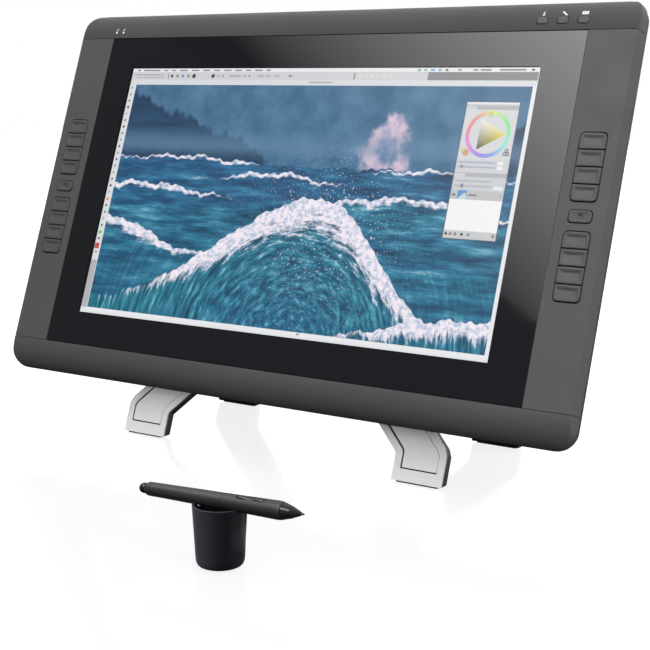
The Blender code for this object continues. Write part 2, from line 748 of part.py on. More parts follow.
def hinge_axle(display_frame):
    """A headed steel pin through all three knuckles."""
    end = SIDE_KNUCKLE_END + 0.0020
    axle = link_mesh(
        "hinge_axle",
        cylinder_mesh("hinge_axle", AXLE_RADIUS, -end, end, "X", sides=24),
        STEEL,
        display_frame,
        (0, HINGE_Y, HINGE_Z),
    )
    for side in (-1, 1):
        low, high = sorted((side * (SIDE_KNUCKLE_END + GAP), side * (end + 0.0005)))
        head = cylinder_mesh("axle_head", AXLE_RADIUS + 0.0022, low, high, "X", sides=24)
        add_on(axle, link_cutter("axle_head", head, display_frame, (0, HINGE_Y, HINGE_Z)))


def release_lever(display_frame):
    """The paddle behind the hub that frees the easel hinge when it is pulled back."""
    paddle = box_mesh("lever_paddle", (-0.0195, -0.004, -0.0018), (0.0195, 0.030, 0.0018), 0.004)
    lever = link_mesh("release_lever", paddle, SILVER, display_frame, (0, *LEVER_PIVOT))
    pin = cylinder_mesh("lever_pin", 0.0021, -0.0250, 0.0250, "X", sides=16)
    add_on(lever, link_cutter("lever_pin", pin, display_frame, (0, *LEVER_PIVOT)))


# ---------------------------------------------------------------- pen and cup


def pen_cup():
    """A tapered cup with a rounded foot and two notches in its rim that cradle the pen."""
    foot = 0.003
    profile = [
        (0.0, CUP_FLOOR),
        (CUP_FOOT_RADIUS - CUP_WALL, CUP_FLOOR),
        (CUP_RIM_RADIUS - CUP_WALL, CUP_HEIGHT),
        (CUP_RIM_RADIUS, CUP_HEIGHT),
        (CUP_FOOT_RADIUS + 0.0004, foot * 2),
        (CUP_FOOT_RADIUS - 0.0006, foot * 0.8),
        (CUP_FOOT_RADIUS - foot, 0.0),
        (0.0, 0.0),
    ]
    cup = turned_object("pen_cup", profile, BACK, None, (CUP_X, CUP_Y, 0), 40)
    pen = cylinder_mesh("pen_notch", 0.0069, -0.04, 0.04, "X", sides=32)
    notch = link_cutter("pen_notch", pen, PEN)
    cut(cup, notch)
    return cup


def pen_piece(name, profile, material):
    """A turned piece of the pen: radii along its length, which runs from the eraser (0) to the nib."""
    middle = PEN_LENGTH / 2
    shifted = [(radius, along - middle) for radius, along in reversed(profile)]
    obj = turned_object(name, shifted, material, PEN, steps=28)
    obj.rotation_euler = (0, math.pi / 2, 0)
    return obj


def pen_pieces():
    pen_piece("pen_eraser", [(0, 0), (0.0022, 0.0006), (0.0037, 0.0026), (0.0042, 0.0066), (0, 0.0066)], RUBBER)
    pen_piece(
        "pen_barrel",
        [(0, 0.0078), (0.0048, 0.0078), (0.0053, 0.0088), (0.0058, 0.030), (0.0062, 0.056), (0.0065, 0.080), (0, 0.080)],
        BACK,
    )
    grip = pen_piece(
        "pen_grip",
        [
            (0, 0.0803), (0.0065, 0.0803), (0.0067, 0.100), (0.0070, 0.120), (0.0072, 0.129),
            (0.0068, 0.1335), (0, 0.1335),
        ],
        RUBBER,
    )
    cone = pen_piece(
        "pen_tip_cone",
        [(0, 0.1338), (0.0066, 0.1338), (0.0048, 0.1405), (0.0016, 0.1490), (0, 0.1490)],
        BACK,
    )
    bore = cylinder_mesh("nib_bore", NIB_RADIUS + GAP, 0.144 - PEN_LENGTH / 2, PEN_LENGTH, "X", sides=16)
    cut(cone, link_cutter("nib_bore", bore, PEN))
    pen_piece("pen_nib", [(0, 0.1454), (NIB_RADIUS, 0.1454), (NIB_RADIUS, 0.1500), (0.0006, 0.1516), (0, 0.152)], BACK)
    start, end = SWITCH_SPAN
    middle = (start + end) / 2 - PEN_LENGTH / 2
    half = (end - start) / 2
    bed = box_mesh(
        "switch_bed", (-half - GAP, -0.0026 - GAP, 0.0042), (half + GAP, 0.0026 + GAP, 0.012), 0.0018
    )
    holder = new_empty("switch_pivot", (middle, 0, 0), (SWITCH_ROLL, 0, 0), PEN)
    cut(grip, link_cutter("switch_bed", bed, holder))
    rocker = box_mesh("side_switch", (-half, -0.0026, -0.0008), (half, 0.0026, 0.0017), 0.0016, 0.0005)
    link_mesh("pen_side_switch", rocker, KEYS, holder, (0, 0, SWITCH_PIVOT_RADIUS))


# ---------------------------------------------------------------- assembly

DISPLAY = new_empty("display_frame", (0, DISPLAY_Y, DISPLAY_Z), (DISPLAY_INCLINE, 0, 0))
bpy.context.view_layer.update()
HINGE_WORLD = DISPLAY.matrix_world @ Vector((0, HINGE_Y, HINGE_Z))
REAR = new_empty("rear_leg_pivot", HINGE_WORLD, (math.pi / 2 + REAR_LEAN, 0, 0))
PEN = new_empty("pen_axis", (CUP_X, CUP_Y, PEN_CENTRE_Z), (0, -PEN_TILT, PEN_TURN))
FLOOR_CUT = link_cutter(
    "floor", box_mesh("floor", (-0.5, -0.5, -0.1), (0.5, 0.5, FOOT_PAD_HEIGHT + GAP)), None
)
bpy.context.view_layer.update()

housing = front_housing(DISPLAY)
key_openings(housing["left_key_panel"], -1, DISPLAY)
key_openings(housing["right_key_panel"], 1, DISPLAY)
side_keys(-1, "left", DISPLAY)
side_keys(1, "right", DISPLAY)
top_buttons(housing["top_bar"], DISPLAY)
status_light_pipe(housing["top_bar"], DISPLAY)
back_shell = rear_cover(DISPLAY)
touch_strips(back_shell, DISPLAY)
power_button(back_shell, DISPLAY)
screen_stack(DISPLAY)
sockets(DISPLAY)
turning_mount(DISPLAY, DISPLAY)
front_leg_frame(DISPLAY)
rear_leg_frame(REAR)
foot_pads(DISPLAY, REAR)
hinge_axle(DISPLAY)
release_lever(DISPLAY)
pen_cup()
pen_pieces()
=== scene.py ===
"""The looks of the pen drawing tablet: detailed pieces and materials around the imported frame."""

import json
import math

import bmesh
import bpy
import numpy as np
from mathutils import Euler, Matrix, Vector

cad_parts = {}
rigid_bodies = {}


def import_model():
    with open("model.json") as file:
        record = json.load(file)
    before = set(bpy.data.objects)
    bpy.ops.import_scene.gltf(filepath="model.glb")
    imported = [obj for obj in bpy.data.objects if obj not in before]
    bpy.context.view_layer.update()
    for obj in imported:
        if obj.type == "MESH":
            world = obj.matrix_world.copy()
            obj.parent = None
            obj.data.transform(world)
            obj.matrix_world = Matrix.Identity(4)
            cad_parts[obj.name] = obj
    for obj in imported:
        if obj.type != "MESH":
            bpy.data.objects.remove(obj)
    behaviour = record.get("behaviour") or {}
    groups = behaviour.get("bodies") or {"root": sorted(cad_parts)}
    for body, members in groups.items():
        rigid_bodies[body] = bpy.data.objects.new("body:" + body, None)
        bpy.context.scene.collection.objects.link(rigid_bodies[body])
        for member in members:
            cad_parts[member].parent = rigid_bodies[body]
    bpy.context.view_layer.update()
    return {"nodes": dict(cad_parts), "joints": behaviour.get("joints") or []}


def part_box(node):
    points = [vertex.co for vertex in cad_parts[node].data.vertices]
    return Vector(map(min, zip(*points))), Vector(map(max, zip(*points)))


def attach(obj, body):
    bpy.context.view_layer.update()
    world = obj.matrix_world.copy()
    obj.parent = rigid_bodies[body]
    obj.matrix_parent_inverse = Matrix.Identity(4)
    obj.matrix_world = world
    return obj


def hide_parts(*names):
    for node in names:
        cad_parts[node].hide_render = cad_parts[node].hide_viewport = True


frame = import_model()
JOINTS = {joint["name"]: joint for joint in frame["joints"]}

# ------------------------------------------------------------------ frames

NORMAL = Vector(JOINTS["display_turn"]["axis"])
LEAN = math.atan2(-NORMAL.y, NORMAL.z)
CENTRE = Vector(JOINTS["display_turn"]["pos_m"])
DISPLAY = Matrix.Translation(CENTRE) @ Matrix.Rotation(LEAN, 4, "X")
REAR_LEAN = math.radians(112)
REAR = Matrix.Translation(JOINTS["stand_tilt"]["pos_m"]) @ Matrix.Rotation(REAR_LEAN, 4, "X")
CUP_LOW, CUP_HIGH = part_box("pen_cup")
CUP = Vector(((CUP_LOW.x + CUP_HIGH.x) / 2, (CUP_LOW.y + CUP_HIGH.y) / 2, 0))
PEN_HEIGHT, PEN_RISE, PEN_TURN = 0.0507, math.radians(1.0), math.radians(2.9)
PEN = Matrix.Translation(CUP + Vector((0, 0, PEN_HEIGHT)))
PEN = PEN @ Euler((0, -PEN_RISE, PEN_TURN)).to_matrix().to_4x4()
WORLD = Matrix.Identity(4)

# Sizes shared with the solids, in metres
HALF_W, HALF_H, FACE_W = 0.325, 0.200, 0.323
CORNER, WALL, GAP = 0.0185, 0.0025, 0.0003
SEAM, ROLL, SPLIT, BEVEL_DEPTH = 0.169, 0.016, -0.013, 0.012
GLASS_X, GLASS_Y, GLASS_TOP = 0.277, 0.1685, -0.0004
SLIT = 0.00045
KEY_X, KEY_W, PITCH, GROUP = 0.2998, 0.0244, 0.0155, 0.0131
MIDDLE_HALF = (0.0107, 0.0056)
BUTTONS_X, BUTTON_Y = (0.2311, 0.2510, 0.2709), 0.1786
LIGHTS_X, LIGHTS_Y = (-0.2753, -0.2656), 0.1757
PEN_LENGTH = 0.152
LEG_FRONT = -0.052
THROUGH = (-0.02, 0.01)
FAR_BACK = -0.06

# The lit picture's middle on the display's face
PICTURE_MIDDLE = (-0.0017, 0.0005)

# ------------------------------------------------------------------ node helpers


class Nodes:
    """Short calls that add nodes to one material and return their output sockets."""

    def __init__(self, name):
        self.material = bpy.data.materials.new(name)
        self.material.use_nodes = True
        self.tree = self.material.node_tree
        self.shader = self.tree.nodes["Principled BSDF"]
        self.place = self.tree.nodes.new("ShaderNodeTexCoord").outputs["Object"]

    def put(self, node, socket, value):
        if isinstance(value, bpy.types.NodeSocket):
            self.tree.links.new(value, node.inputs[socket])
        elif value is not None:
            node.inputs[socket].default_value = value

    def math(self, operation, a, b=None, c=None):
        node = self.tree.nodes.new("ShaderNodeMath")
        node.operation = operation
        for socket, value in enumerate((a, b, c)):
            self.put(node, socket, value)
        return node.outputs[0]

    def vector(self, operation, a, b=None, scale=None, out=0):
        node = self.tree.nodes.new("ShaderNodeVectorMath")
        node.operation = operation
        self.put(node, 0, a)
        self.put(node, 1, b)
        if scale is not None:
            self.put(node, "Scale", scale)
        return node.outputs[out]

    def step(self, value, low, high, a=0.0, b=1.0):
        node = self.tree.nodes.new("ShaderNodeMapRange")
        node.interpolation_type = "SMOOTHSTEP"
        for socket, given in enumerate((value, low, high, a, b)):
            self.put(node, socket, given)
        return node.outputs[0]

    def noise(self, place, scale, detail=3.0, rough=0.5, warp=0.0):
        node = self.tree.nodes.new("ShaderNodeTexNoise")
        self.put(node, "Vector", place)
        self.put(node, "Scale", scale)
        self.put(node, "Detail", detail)
        self.put(node, "Roughness", rough)
        self.put(node, "Distortion", warp)
        return node.outputs[0]

    def drift(self, place, scale, amount, detail=2.0):
        """A small wandering offset, for bending a pattern."""
        node = self.tree.nodes.new("ShaderNodeTexNoise")
        self.put(node, "Vector", place)
        self.put(node, "Scale", scale)
        self.put(node, "Detail", detail)
        return self.vector("SCALE", self.vector("SUBTRACT", node.outputs[1], (0.5, 0.5, 0.5)), scale=amount)

    def mapped(self, place, scale=(1, 1, 1), turn=0.0, shift=(0, 0, 0)):
        node = self.tree.nodes.new("ShaderNodeMapping")
        self.put(node, "Vector", place)
        self.put(node, "Scale", scale)
        self.put(node, "Rotation", (0, 0, turn))
        self.put(node, "Location", shift)
        return node.outputs[0]

    def ramp(self, value, stops):
        node = self.tree.nodes.new("ShaderNodeValToRGB")
        self.put(node, 0, value)
        ramp = node.color_ramp
        while len(ramp.elements) < len(stops):
            ramp.elements.new(0.5)
        for element, (at, colour) in zip(ramp.elements, stops):
            element.position = at
            element.color = (*colour, 1.0)
        return node.outputs[0]

    def mix(self, share, a, b):
        node = self.tree.nodes.new("ShaderNodeMix")
        node.data_type = "RGBA"
        self.put(node, 0, share)
        for socket, value in ((6, a), (7, b)):
            value = (*value, 1.0) if isinstance(value, tuple) and len(value) == 3 else value
            self.put(node, socket, value)
        return node.outputs[2]

    def xyz(self, place):
        node = self.tree.nodes.new("ShaderNodeSeparateXYZ")
        self.put(node, 0, place)
        return node.outputs

    def bump(self, height, distance, strength=1.0, normal=None):
        node = self.tree.nodes.new("ShaderNodeBump")
        self.put(node, "Height", height)
        self.put(node, "Distance", distance)
        self.put(node, "Strength", strength)
        self.put(node, "Normal", normal)
        return node.outputs[0]

    def stored(self, name, out=0):
        """What a mesh holds under this name: out 0 as a colour, 1 as a vector."""
        node = self.tree.nodes.new("ShaderNodeAttribute")
        node.attribute_name = name
        return node.outputs[out]

    def window(self, half_x, half_y):
        """One over the picture's middle, out to the two half sizes, and zero beyond."""
        inside = []
        for value, middle, half in zip(self.xyz(self.place), PICTURE_MIDDLE, (half_x, half_y)):
            offset = self.math("ABSOLUTE", self.math("ADD", value, -middle))
            inside.append(self.math("LESS_THAN", offset, half))
        return self.math("MULTIPLY", *inside)

    def set(self, **values):
        for name, value in values.items():
            self.put(self.shader, name.replace("_", " "), value)


def moulded(name, colour, rough=0.45, grain=1400.0, depth=0.00003, vary=0.10, specular=0.5, metal=0.0):
    """Moulded plastic or paint: fine grain in the surface, faint colour drift, uneven gloss."""
    n = Nodes(name)
    drift = n.noise(n.place, 9.0, 2.0)
    fleck = n.noise(n.place, grain * 0.6, 2.0)
    light = tuple(min(1.0, c * (1 + vary)) for c in colour)
    dark = tuple(c * (1 - vary) for c in colour)
    shade = n.math("ADD", n.math("MULTIPLY", drift, 0.65), n.math("MULTIPLY", fleck, 0.35))
    n.set(Base_Color=n.ramp(shade, ((0.3, dark), (0.7, light))))
    n.set(Roughness=n.step(n.noise(n.place, 40.0, 3.0), 0.25, 0.75, rough - 0.05, rough + 0.06))
    n.set(Normal=n.bump(n.noise(n.place, grain, 3.0, 0.6), depth, 0.8), Metallic=metal)
    n.shader.inputs["Specular IOR Level"].default_value = specular
    return n.material


def brushed(name, colour, rough=0.3, stretch=(6, 900, 900)):
    n = Nodes(name)
    lines = n.noise(n.mapped(n.place, stretch), 1.0, 4.0, 0.6)
    n.set(Base_Color=n.ramp(lines, ((0.3, tuple(c * 0.82 for c in colour)), (0.7, colour))))
    n.set(Roughness=n.step(lines, 0.2, 0.8, rough - 0.07, rough + 0.1), Metallic=1.0)
    n.set(Normal=n.bump(lines, 0.00002, 0.6))
    return n.material


def rubber(name, colour):
    n = Nodes(name)
    light = tuple(c * 1.5 for c in colour)
    n.set(Base_Color=n.ramp(n.noise(n.place, 60.0, 4.0), ((0.3, colour), (0.75, light))))
    n.set(Roughness=n.step(n.noise(n.place, 90.0), 0.3, 0.7, 0.55, 0.75))
    n.set(Normal=n.bump(n.noise(n.place, 2200.0, 2.0), 0.00004, 0.8))
    return n.material


def glowing(name, colour, strength=1.0):
    """A status light's own glow, or a printed mark with a painted glow that keeps it at its own colour under
    any light; a little uneven.
    """
    n = Nodes(name)
    uneven = n.ramp(n.noise(n.place, 900.0, 2.0), ((0.2, tuple(c * 0.9 for c in colour)), (0.8, colour)))
    n.set(Base_Color=uneven, Emission_Color=uneven, Roughness=0.35)
    n.shader.inputs["Emission Strength"].default_value = strength
    return n.material


def border_glass():
    """Etched glass: a black printed border, clear over the lit picture."""
    n = Nodes("etched_glass")
    clear = n.window(0.2396, 0.1348)
    darkest, lightest = (0.0085, 0.009, 0.0125), (0.0105, 0.011, 0.0145)
    ink = n.ramp(n.noise(n.place, 700.0, 2.0), ((0.3, darkest), (0.7, lightest)))
    n.set(Base_Color=ink, Roughness=n.step(n.noise(n.place, 30.0), 0.3, 0.7, 0.035, 0.06))
    n.set(Normal=n.bump(n.noise(n.place, 1600.0, 2.0), 0.000002, 0.4))
    n.shader.inputs["Specular IOR Level"].default_value = 0.62
    # the inner face is fully clear; the outer one keeps a share of its own reflection
    see_through = n.step(n.xyz(n.place)[2], -0.0015, -0.0010, 1.0, 0.66)
    n.set(Alpha=n.math("SUBTRACT", 1.0, n.math("MULTIPLY", clear, see_through)))
    return n.material


# The screen, in rows and columns of a 1280 x 720 desktop
SCREEN_LEFT, SCREEN_TOP, ACROSS = -0.2377, 0.1342, 0.4754 / 1280
SCREEN_FACE, UNDER_SCREEN = -0.0027, -0.00272
UNLIT = (0.01, 0.01, 0.012, 1.0)


def on_screen(column, row):
    return Vector((SCREEN_LEFT + column * ACROSS, SCREEN_TOP - row * ACROSS, 0))


# The picture is a made-up rough sea, from far to near. Each swell: where its crest is across, its level and
# rise, its half width (shares of the picture), how deep its foam reaches, and how green it is
SWELLS = (
    (0.20, 0.665, 0.030, 0.15, 0.016, 0.05), (0.85, 0.640, 0.030, 0.15, 0.014, 0.15),
    (0.46, 0.590, 0.045, 0.13, 0.018, 0.10), (0.10, 0.520, 0.050, 0.18, 0.022, 0.20),
    (0.78, 0.470, 0.090, 0.20, 0.024, 0.55), (0.02, 0.280, 0.130, 0.17, 0.045, 0.60),
    (0.57, 0.020, 0.520, 0.25, 0.110, 1.00), (0.98, -0.02, 0.140, 0.20, 0.060, 0.80),
)
# The picture's lower left and upper right corners, as columns and rows
PICTURE_LOW, PICTURE_HIGH = np.array((14, 706)), np.array((1267, 46))
MASKS = ("foam", "green", "land", "plume", "drops", "near")


def canvas():
    """A fine closed sheet over the picture, whose points hold how strongly each kind of paint lies there."""
    wide, high = 318, 168
    u, v = np.meshgrid(np.linspace(0, 1, wide + 1), np.linspace(0, 1, high + 1))
    u, v = u.ravel(), v.ravel()
    ripple = 0.006 * np.sin(u * 55 + v * 20) + 0.004 * np.sin(u * 131 + 2) + 0.003 * np.sin(u * 290)
    masks = {name: np.zeros(len(u)) for name in MASKS}
    for order, (crest, level, rise, half, foam, green) in enumerate(SWELLS):
        slope = half * np.where(u < crest, 1.35, 0.85)
        below = level + rise * np.exp(-(((u - crest) / slope) ** 2)) + ripple - v
        inside = np.clip(below / 0.008, 0, 1)
        bright = np.exp(-(((u - crest) / (half * 1.25)) ** 2))
        new = {
            "foam": np.exp(-((below / (foam * (0.45 + bright))) ** 2)) * np.clip(0.35 + 1.3 * bright, 0, 1),
            "green": green * np.exp(-np.clip(below, 0, 1) / 0.55),
            "near": np.full(len(u), (order + 1) / len(SWELLS)),
        }
        for name, values in new.items():
            masks[name] += (values - masks[name]) * inside
    left_slope = 0.97 - 0.62 * u + 2 * ripple - v
    right_slope = 0.42 + 1.1 * np.sqrt(np.clip(u - 0.84, 0, 1)) + 3 * ripple - v
    left_land = np.clip(left_slope / 0.02, 0, 1) * np.clip((0.42 - u) / 0.02, 0, 1)
    masks["land"] = np.maximum(left_land, np.clip(right_slope / 0.02, 0, 1))
    plume_width = 0.035 + 0.10 * np.clip(1 - v, 0, 1)
    masks["plume"] = np.exp(-(((u - 0.70) / plume_width) ** 2)) * np.clip((0.98 - v) / 0.15, 0, 1)
    masks["drops"] = np.exp(-(((u - 0.60) / 0.16) ** 2) - ((v - 0.40) / 0.25) ** 2)
    spots = [on_screen(*(PICTURE_LOW + (PICTURE_HIGH - PICTURE_LOW) * spot)).xy for spot in zip(u, v)]
    verts = [(*spot, SCREEN_FACE + 0.00001) for spot in spots]
    across = wide + 1
    border = list(range(across)) + [across * k + wide for k in range(1, high)]
    border += [across * high + k for k in range(wide, -1, -1)] + [across * k for k in range(high - 1, 0, -1)]
    under = {vertex: len(verts) + k for k, vertex in enumerate(border)}
    verts += [(*spots[vertex], UNDER_SCREEN) for vertex in border]
    corners = ((0, 0), (1, 0), (1, 1), (0, 1))
    squares = [(i, j) for j in range(high) for i in range(wide)]
    faces = [tuple(across * (j + dj) + i + di for di, dj in corners) for i, j in squares]
    faces += [(b, a, under[a], under[b]) for a, b in zip(border, border[1:] + border[:1])]
    faces.append(tuple(under[vertex] for vertex in border[::-1]))
    mesh = bpy.data.meshes.new("canvas")
    mesh.from_pydata(verts, [], faces)
    for k in range(0, len(MASKS), 3):
        values = np.ones((len(verts), 4), np.float32)
        for channel, name in enumerate(MASKS[k : k + 3]):
            values[: len(u), channel] = masks[name]
        layer = mesh.attributes.new(f"paint_{k // 3}", "FLOAT_COLOR", "POINT")
        layer.data.foreach_set("color", values.ravel())
    return mesh


def seascape():
    """A painted rough sea: breaking swells, blown spray and dark headlands."""
    n = Nodes("painted_sea")
    mask = {}
    for k in range(0, len(MASKS), 3):
        for name, channel in zip(MASKS[k : k + 3], n.xyz(n.stored(f"paint_{k // 3}", 1))):
            mask[name] = channel
    at = n.vector("ADD", n.place, n.drift(n.place, 60.0, 0.0040, 4.0))
    # near the viewer the strokes comb round a point under the picture
    arm = n.vector("SUBTRACT", at, tuple(on_screen(700, 760)))
    arm_x, arm_y, _ = n.xyz(arm)
    arc = n.tree.nodes.new("ShaderNodeCombineXYZ")
    n.put(arc, 0, n.math("MULTIPLY", n.math("ARCTAN2", arm_y, arm_x), 5.0))
    n.put(arc, 1, n.math("MULTIPLY", n.vector("LENGTH", arm, out=1), 190.0))
    combed = n.noise(arc.outputs[0], 1.0, 7.0, 0.68)
    level = n.noise(n.mapped(at, (16, 110, 1), math.radians(6)), 1.0, 7.0, 0.68)
    grain = n.noise(at, 230.0, 4.0, 0.65)
    cloud = n.noise(at, 30.0, 8.0, 0.62)
    front = n.step(mask["near"], 0.70, 0.84)
    far = n.math("MULTIPLY", level, n.math("SUBTRACT", 1.0, front))
    streaks = n.math("ADD", n.math("MULTIPLY", combed, front), far)

    def torn(name, pattern, ragged, low, high):
        """Where the mask and the pattern together leave paint."""
        return n.step(n.math("MULTIPLY_ADD", n.math("SUBTRACT", pattern, 0.5), ragged, mask[name]), low, high)

    sea = n.ramp(streaks, (
        (0.34, (0.004, 0.034, 0.095)), (0.47, (0.010, 0.078, 0.190)),
        (0.57, (0.020, 0.140, 0.290)), (0.68, (0.110, 0.310, 0.460)),
    ))
    teal = n.ramp(streaks, (
        (0.34, (0.002, 0.042, 0.085)), (0.46, (0.007, 0.120, 0.190)), (0.55, (0.030, 0.250, 0.330)),
        (0.63, (0.130, 0.440, 0.530)), (0.72, (0.450, 0.700, 0.760)),
    ))
    sky = n.ramp(cloud, ((0.30, (0.020, 0.100, 0.205)), (0.70, (0.090, 0.215, 0.350))))
    land = n.ramp(streaks, ((0.32, (0.005, 0.030, 0.078)), (0.68, (0.017, 0.070, 0.145))))
    foam = n.mix(n.step(grain, 0.36, 0.58), (0.42, 0.52, 0.68), (0.90, 0.82, 0.89))
    spray = n.mix(n.step(cloud, 0.38, 0.60), (0.20, 0.28, 0.45), (0.66, 0.52, 0.64))
    height = n.xyz(at)[1]
    horizon = on_screen(0, 250).y
    behind = n.mix(mask["land"], sky, land)
    behind = n.mix(torn("plume", cloud, 2.2, 0.45, 0.95), behind, spray)
    mist_foot = n.step(height, horizon - 0.004, horizon + 0.012)
    mist = n.math("MULTIPLY", mist_foot, n.step(height, horizon + 0.034, horizon + 0.010))
    behind = n.mix(n.math("MULTIPLY", mist, 0.6), behind, (0.12, 0.24, 0.38))
    picture = n.mix(n.step(mask["near"], 0.04, 0.09), behind, n.mix(mask["green"], sea, teal))
    picture = n.mix(torn("foam", streaks, 1.9, 0.40, 0.72), picture, foam)
    drops = n.math("MULTIPLY", n.step(n.noise(at, 430.0, 2.0), 0.62, 0.68), mask["drops"])
    picture = n.mix(drops, picture, foam)
    n.set(Base_Color=UNLIT, Emission_Color=picture, Roughness=0.5)
    n.shader.inputs["Emission Strength"].default_value = 1.5
    return n.material


def backlit():
    """The lit panel's own white, a little uneven, inside a dark edge."""
    n = Nodes("backlit_panel")
    white = n.mix(n.noise(n.place, 12.0), (0.78, 0.79, 0.80), (0.84, 0.85, 0.87))
    light = n.mix(n.window(0.2394, 0.1346), (0.003, 0.003, 0.004), white)
    n.set(Base_Color=UNLIT, Emission_Color=light, Roughness=0.5)
    n.shader.inputs["Emission Strength"].default_value = 1.4
    return n.material


def tinted_light():
    """The desktop's small pieces: each face gives the light of its own tint, with faint specks in it."""
    n = Nodes("desktop_light")
    speck = n.noise(n.mapped(n.place, (900, 900, 1)), 1.0, 1.0)
    light = n.mix(n.step(speck, 0.2, 0.8, 0.0, 0.10), n.stored("tint"), (0.25, 0.27, 0.30))
    n.set(Base_Color=UNLIT, Emission_Color=light, Roughness=0.5)
    n.shader.inputs["Emission Strength"].default_value = 1.5
    return n.material


CASE = moulded("graphite_case", (0.105, 0.105, 0.1095), 0.48, vary=0.05, specular=0.25)
BACK = moulded("black_shell", (0.022, 0.022, 0.025), 0.50, specular=0.22)
KEY = moulded("key_plastic", (0.098, 0.098, 0.102), 0.45, vary=0.05, specular=0.3)
CUP_PLASTIC = moulded("cup_plastic", (0.020, 0.0205, 0.026), 0.30, 1800.0, specular=0.3)
SILVER = moulded("silver_paint", (0.90, 0.905, 0.92), 0.34, 2600.0, 0.000012, 0.02, 0.5)
LEG_BLACK = moulded("leg_black", (0.016, 0.016, 0.018), 0.38)
PEN_BLACK = moulded("pen_black", (0.040, 0.040, 0.044), 0.36, 2200.0, 0.00002)
PEN_GLOSS = moulded("pen_gloss", (0.022, 0.022, 0.026), 0.14, 2600.0, 0.000004)
GRIP = moulded("grip_rubber", (0.036, 0.036, 0.040), 0.42, 1600.0, 0.00003)
RUBBER = rubber("foot_rubber", (0.012, 0.012, 0.013))
STEEL = brushed("brushed_steel", (0.62, 0.62, 0.64))
BOARD = moulded("circuit_board", (0.02, 0.12, 0.05), 0.35, 500.0)
GOLD = brushed("contact_metal", (0.85, 0.62, 0.30), 0.25)
GLASS = border_glass()
SEA = seascape()
PANEL = backlit()
DESKTOP = tinted_light()
# the printed white marks: their own white, plus a faint painted glow that keeps them bright under any light
GLOWING_MARK = glowing("white_mark", (0.80, 0.81, 0.83), 0.35)
LIGHT = glowing("status_light", (0.80, 0.88, 0.95), 0.7)
CLEAR = moulded("clear_prong", (0.65, 0.68, 0.72), 0.15, 2000.0)

# ------------------------------------------------------------------ mesh helpers


def mesh_of(name, bm):
    bmesh.ops.remove_doubles(bm, verts=bm.verts, dist=1e-7)
    bmesh.ops.recalc_face_normals(bm, faces=bm.faces)
    mesh = bpy.data.meshes.new(name)
    bm.to_mesh(mesh)
    bm.free()
    return mesh


def ring(half_x, half_y, radius, z, steps=12, centre=(0, 0)):
    """A rounded rectangle's points; radius is one number or one for each corner, from +X +Y round."""
    radii = radius if isinstance(radius, tuple) else (radius,) * 4
    points = []
    for corner, (sx, sy) in enumerate(((1, 1), (-1, 1), (-1, -1), (1, -1))):
        r = min(radii[corner], half_x, half_y)
        for i in range(steps + 1):
            angle = math.pi / 2 * (corner + i / steps)
            x = sx * (half_x - r) + r * math.cos(angle) + centre[0]
            y = sy * (half_y - r) + r * math.sin(angle) + centre[1]
            points.append((x, y, z))
    return points


def loft(name, rings):
    bm = bmesh.new()
    rows = [[bm.verts.new(p) for p in points] for points in rings]
    for front, back in zip(rows, rows[1:]):
        for i in range(len(front)):
            j = (i + 1) % len(front)
            bm.faces.new((front[i], front[j], back[j], back[i]))
    bm.faces.new(rows[0])
    bm.faces.new(rows[-1])
    return mesh_of(name, bm)


def prism(name, outline, low, high, matrix=None):
    bm = bmesh.new()
    face = bm.faces.new([bm.verts.new((x, y, low)) for x, y in outline])
    grown = bmesh.ops.extrude_face_region(bm, geom=[face])
    tops = [v for v in grown["geom"] if isinstance(v, bmesh.types.BMVert)]
    bmesh.ops.translate(bm, vec=(0, 0, high - low), verts=tops)
    if matrix:
        bmesh.ops.transform(bm, matrix=matrix, verts=bm.verts)
    return mesh_of(name, bm)


def slab(name, low, high):
    (x0, y0, z0), (x1, y1, z1) = low, high
    return prism(name, ((x0, y0), (x1, y0), (x1, y1), (x0, y1)), z0, z1)


def block(name, x, y, half_x, half_y, low, high):
    """A slab given by its middle, its half sizes and its two heights."""
    return slab(name, (x - half_x, y - half_y, low), (x + half_x, y + half_y, high))


def stacked(half_x, half_y, radius, steps, rows, shrink=1.0, least=0.0002, centre=(0, 0)):
    """Rounded rectangles, one for each (inset, height); shrink is the share of the inset its radius loses."""
    rings = []
    for inset_by, z in rows:
        corner = max(least, radius - inset_by * shrink)
        rings.append(ring(half_x - inset_by, half_y - inset_by, corner, z, steps, centre))
    return rings


def rod(name, radius, low, high, axis="Z", centre=(0, 0), sides=48):
    bm = bmesh.new()
    turn = Matrix.Rotation(math.pi / 2, 4, "Y") if axis == "X" else Matrix.Identity(4)
    bmesh.ops.create_cone(
        bm, cap_ends=True, segments=sides, radius1=radius, radius2=radius, depth=high - low, matrix=turn
    )
    middle = (low + high) / 2
    bmesh.ops.translate(bm, vec=(middle, *centre) if axis == "X" else (*centre, middle), verts=bm.verts)
    return mesh_of(name, bm)


def lathe(name, profile, steps=72, matrix=None):
    """Turned about Z: the profile is (radius, height), closed on the axis or as a loop."""
    bm = bmesh.new()
    columns = []
    for i in range(steps):
        a = 2 * math.pi * i / steps
        columns.append([bm.verts.new((r * math.cos(a), r * math.sin(a), h)) for r, h in profile])
    for i in range(steps):
        a, b = columns[i], columns[(i + 1) % steps]
        for j in range(len(profile) - 1):
            corners = [a[j], b[j], b[j + 1], a[j + 1]]
            if profile[j][0] == 0:
                corners = [a[j], b[j + 1], a[j + 1]]
            elif profile[j + 1][0] == 0:
                corners = [a[j], b[j], a[j + 1]]
            bm.faces.new(corners)
    if matrix:
        bmesh.ops.transform(bm, matrix=matrix, verts=bm.verts)
    return mesh_of(name, bm)


def joined(name, meshes):
    bm = bmesh.new()
    for mesh in meshes:
        bm.from_mesh(mesh)
    mesh = bpy.data.meshes.new(name)
    bm.to_mesh(mesh)
    bm.free()
    return mesh


def held(mesh):
    obj = bpy.data.objects.new(mesh.name, mesh)
    bpy.context.scene.collection.objects.link(obj)
    return obj


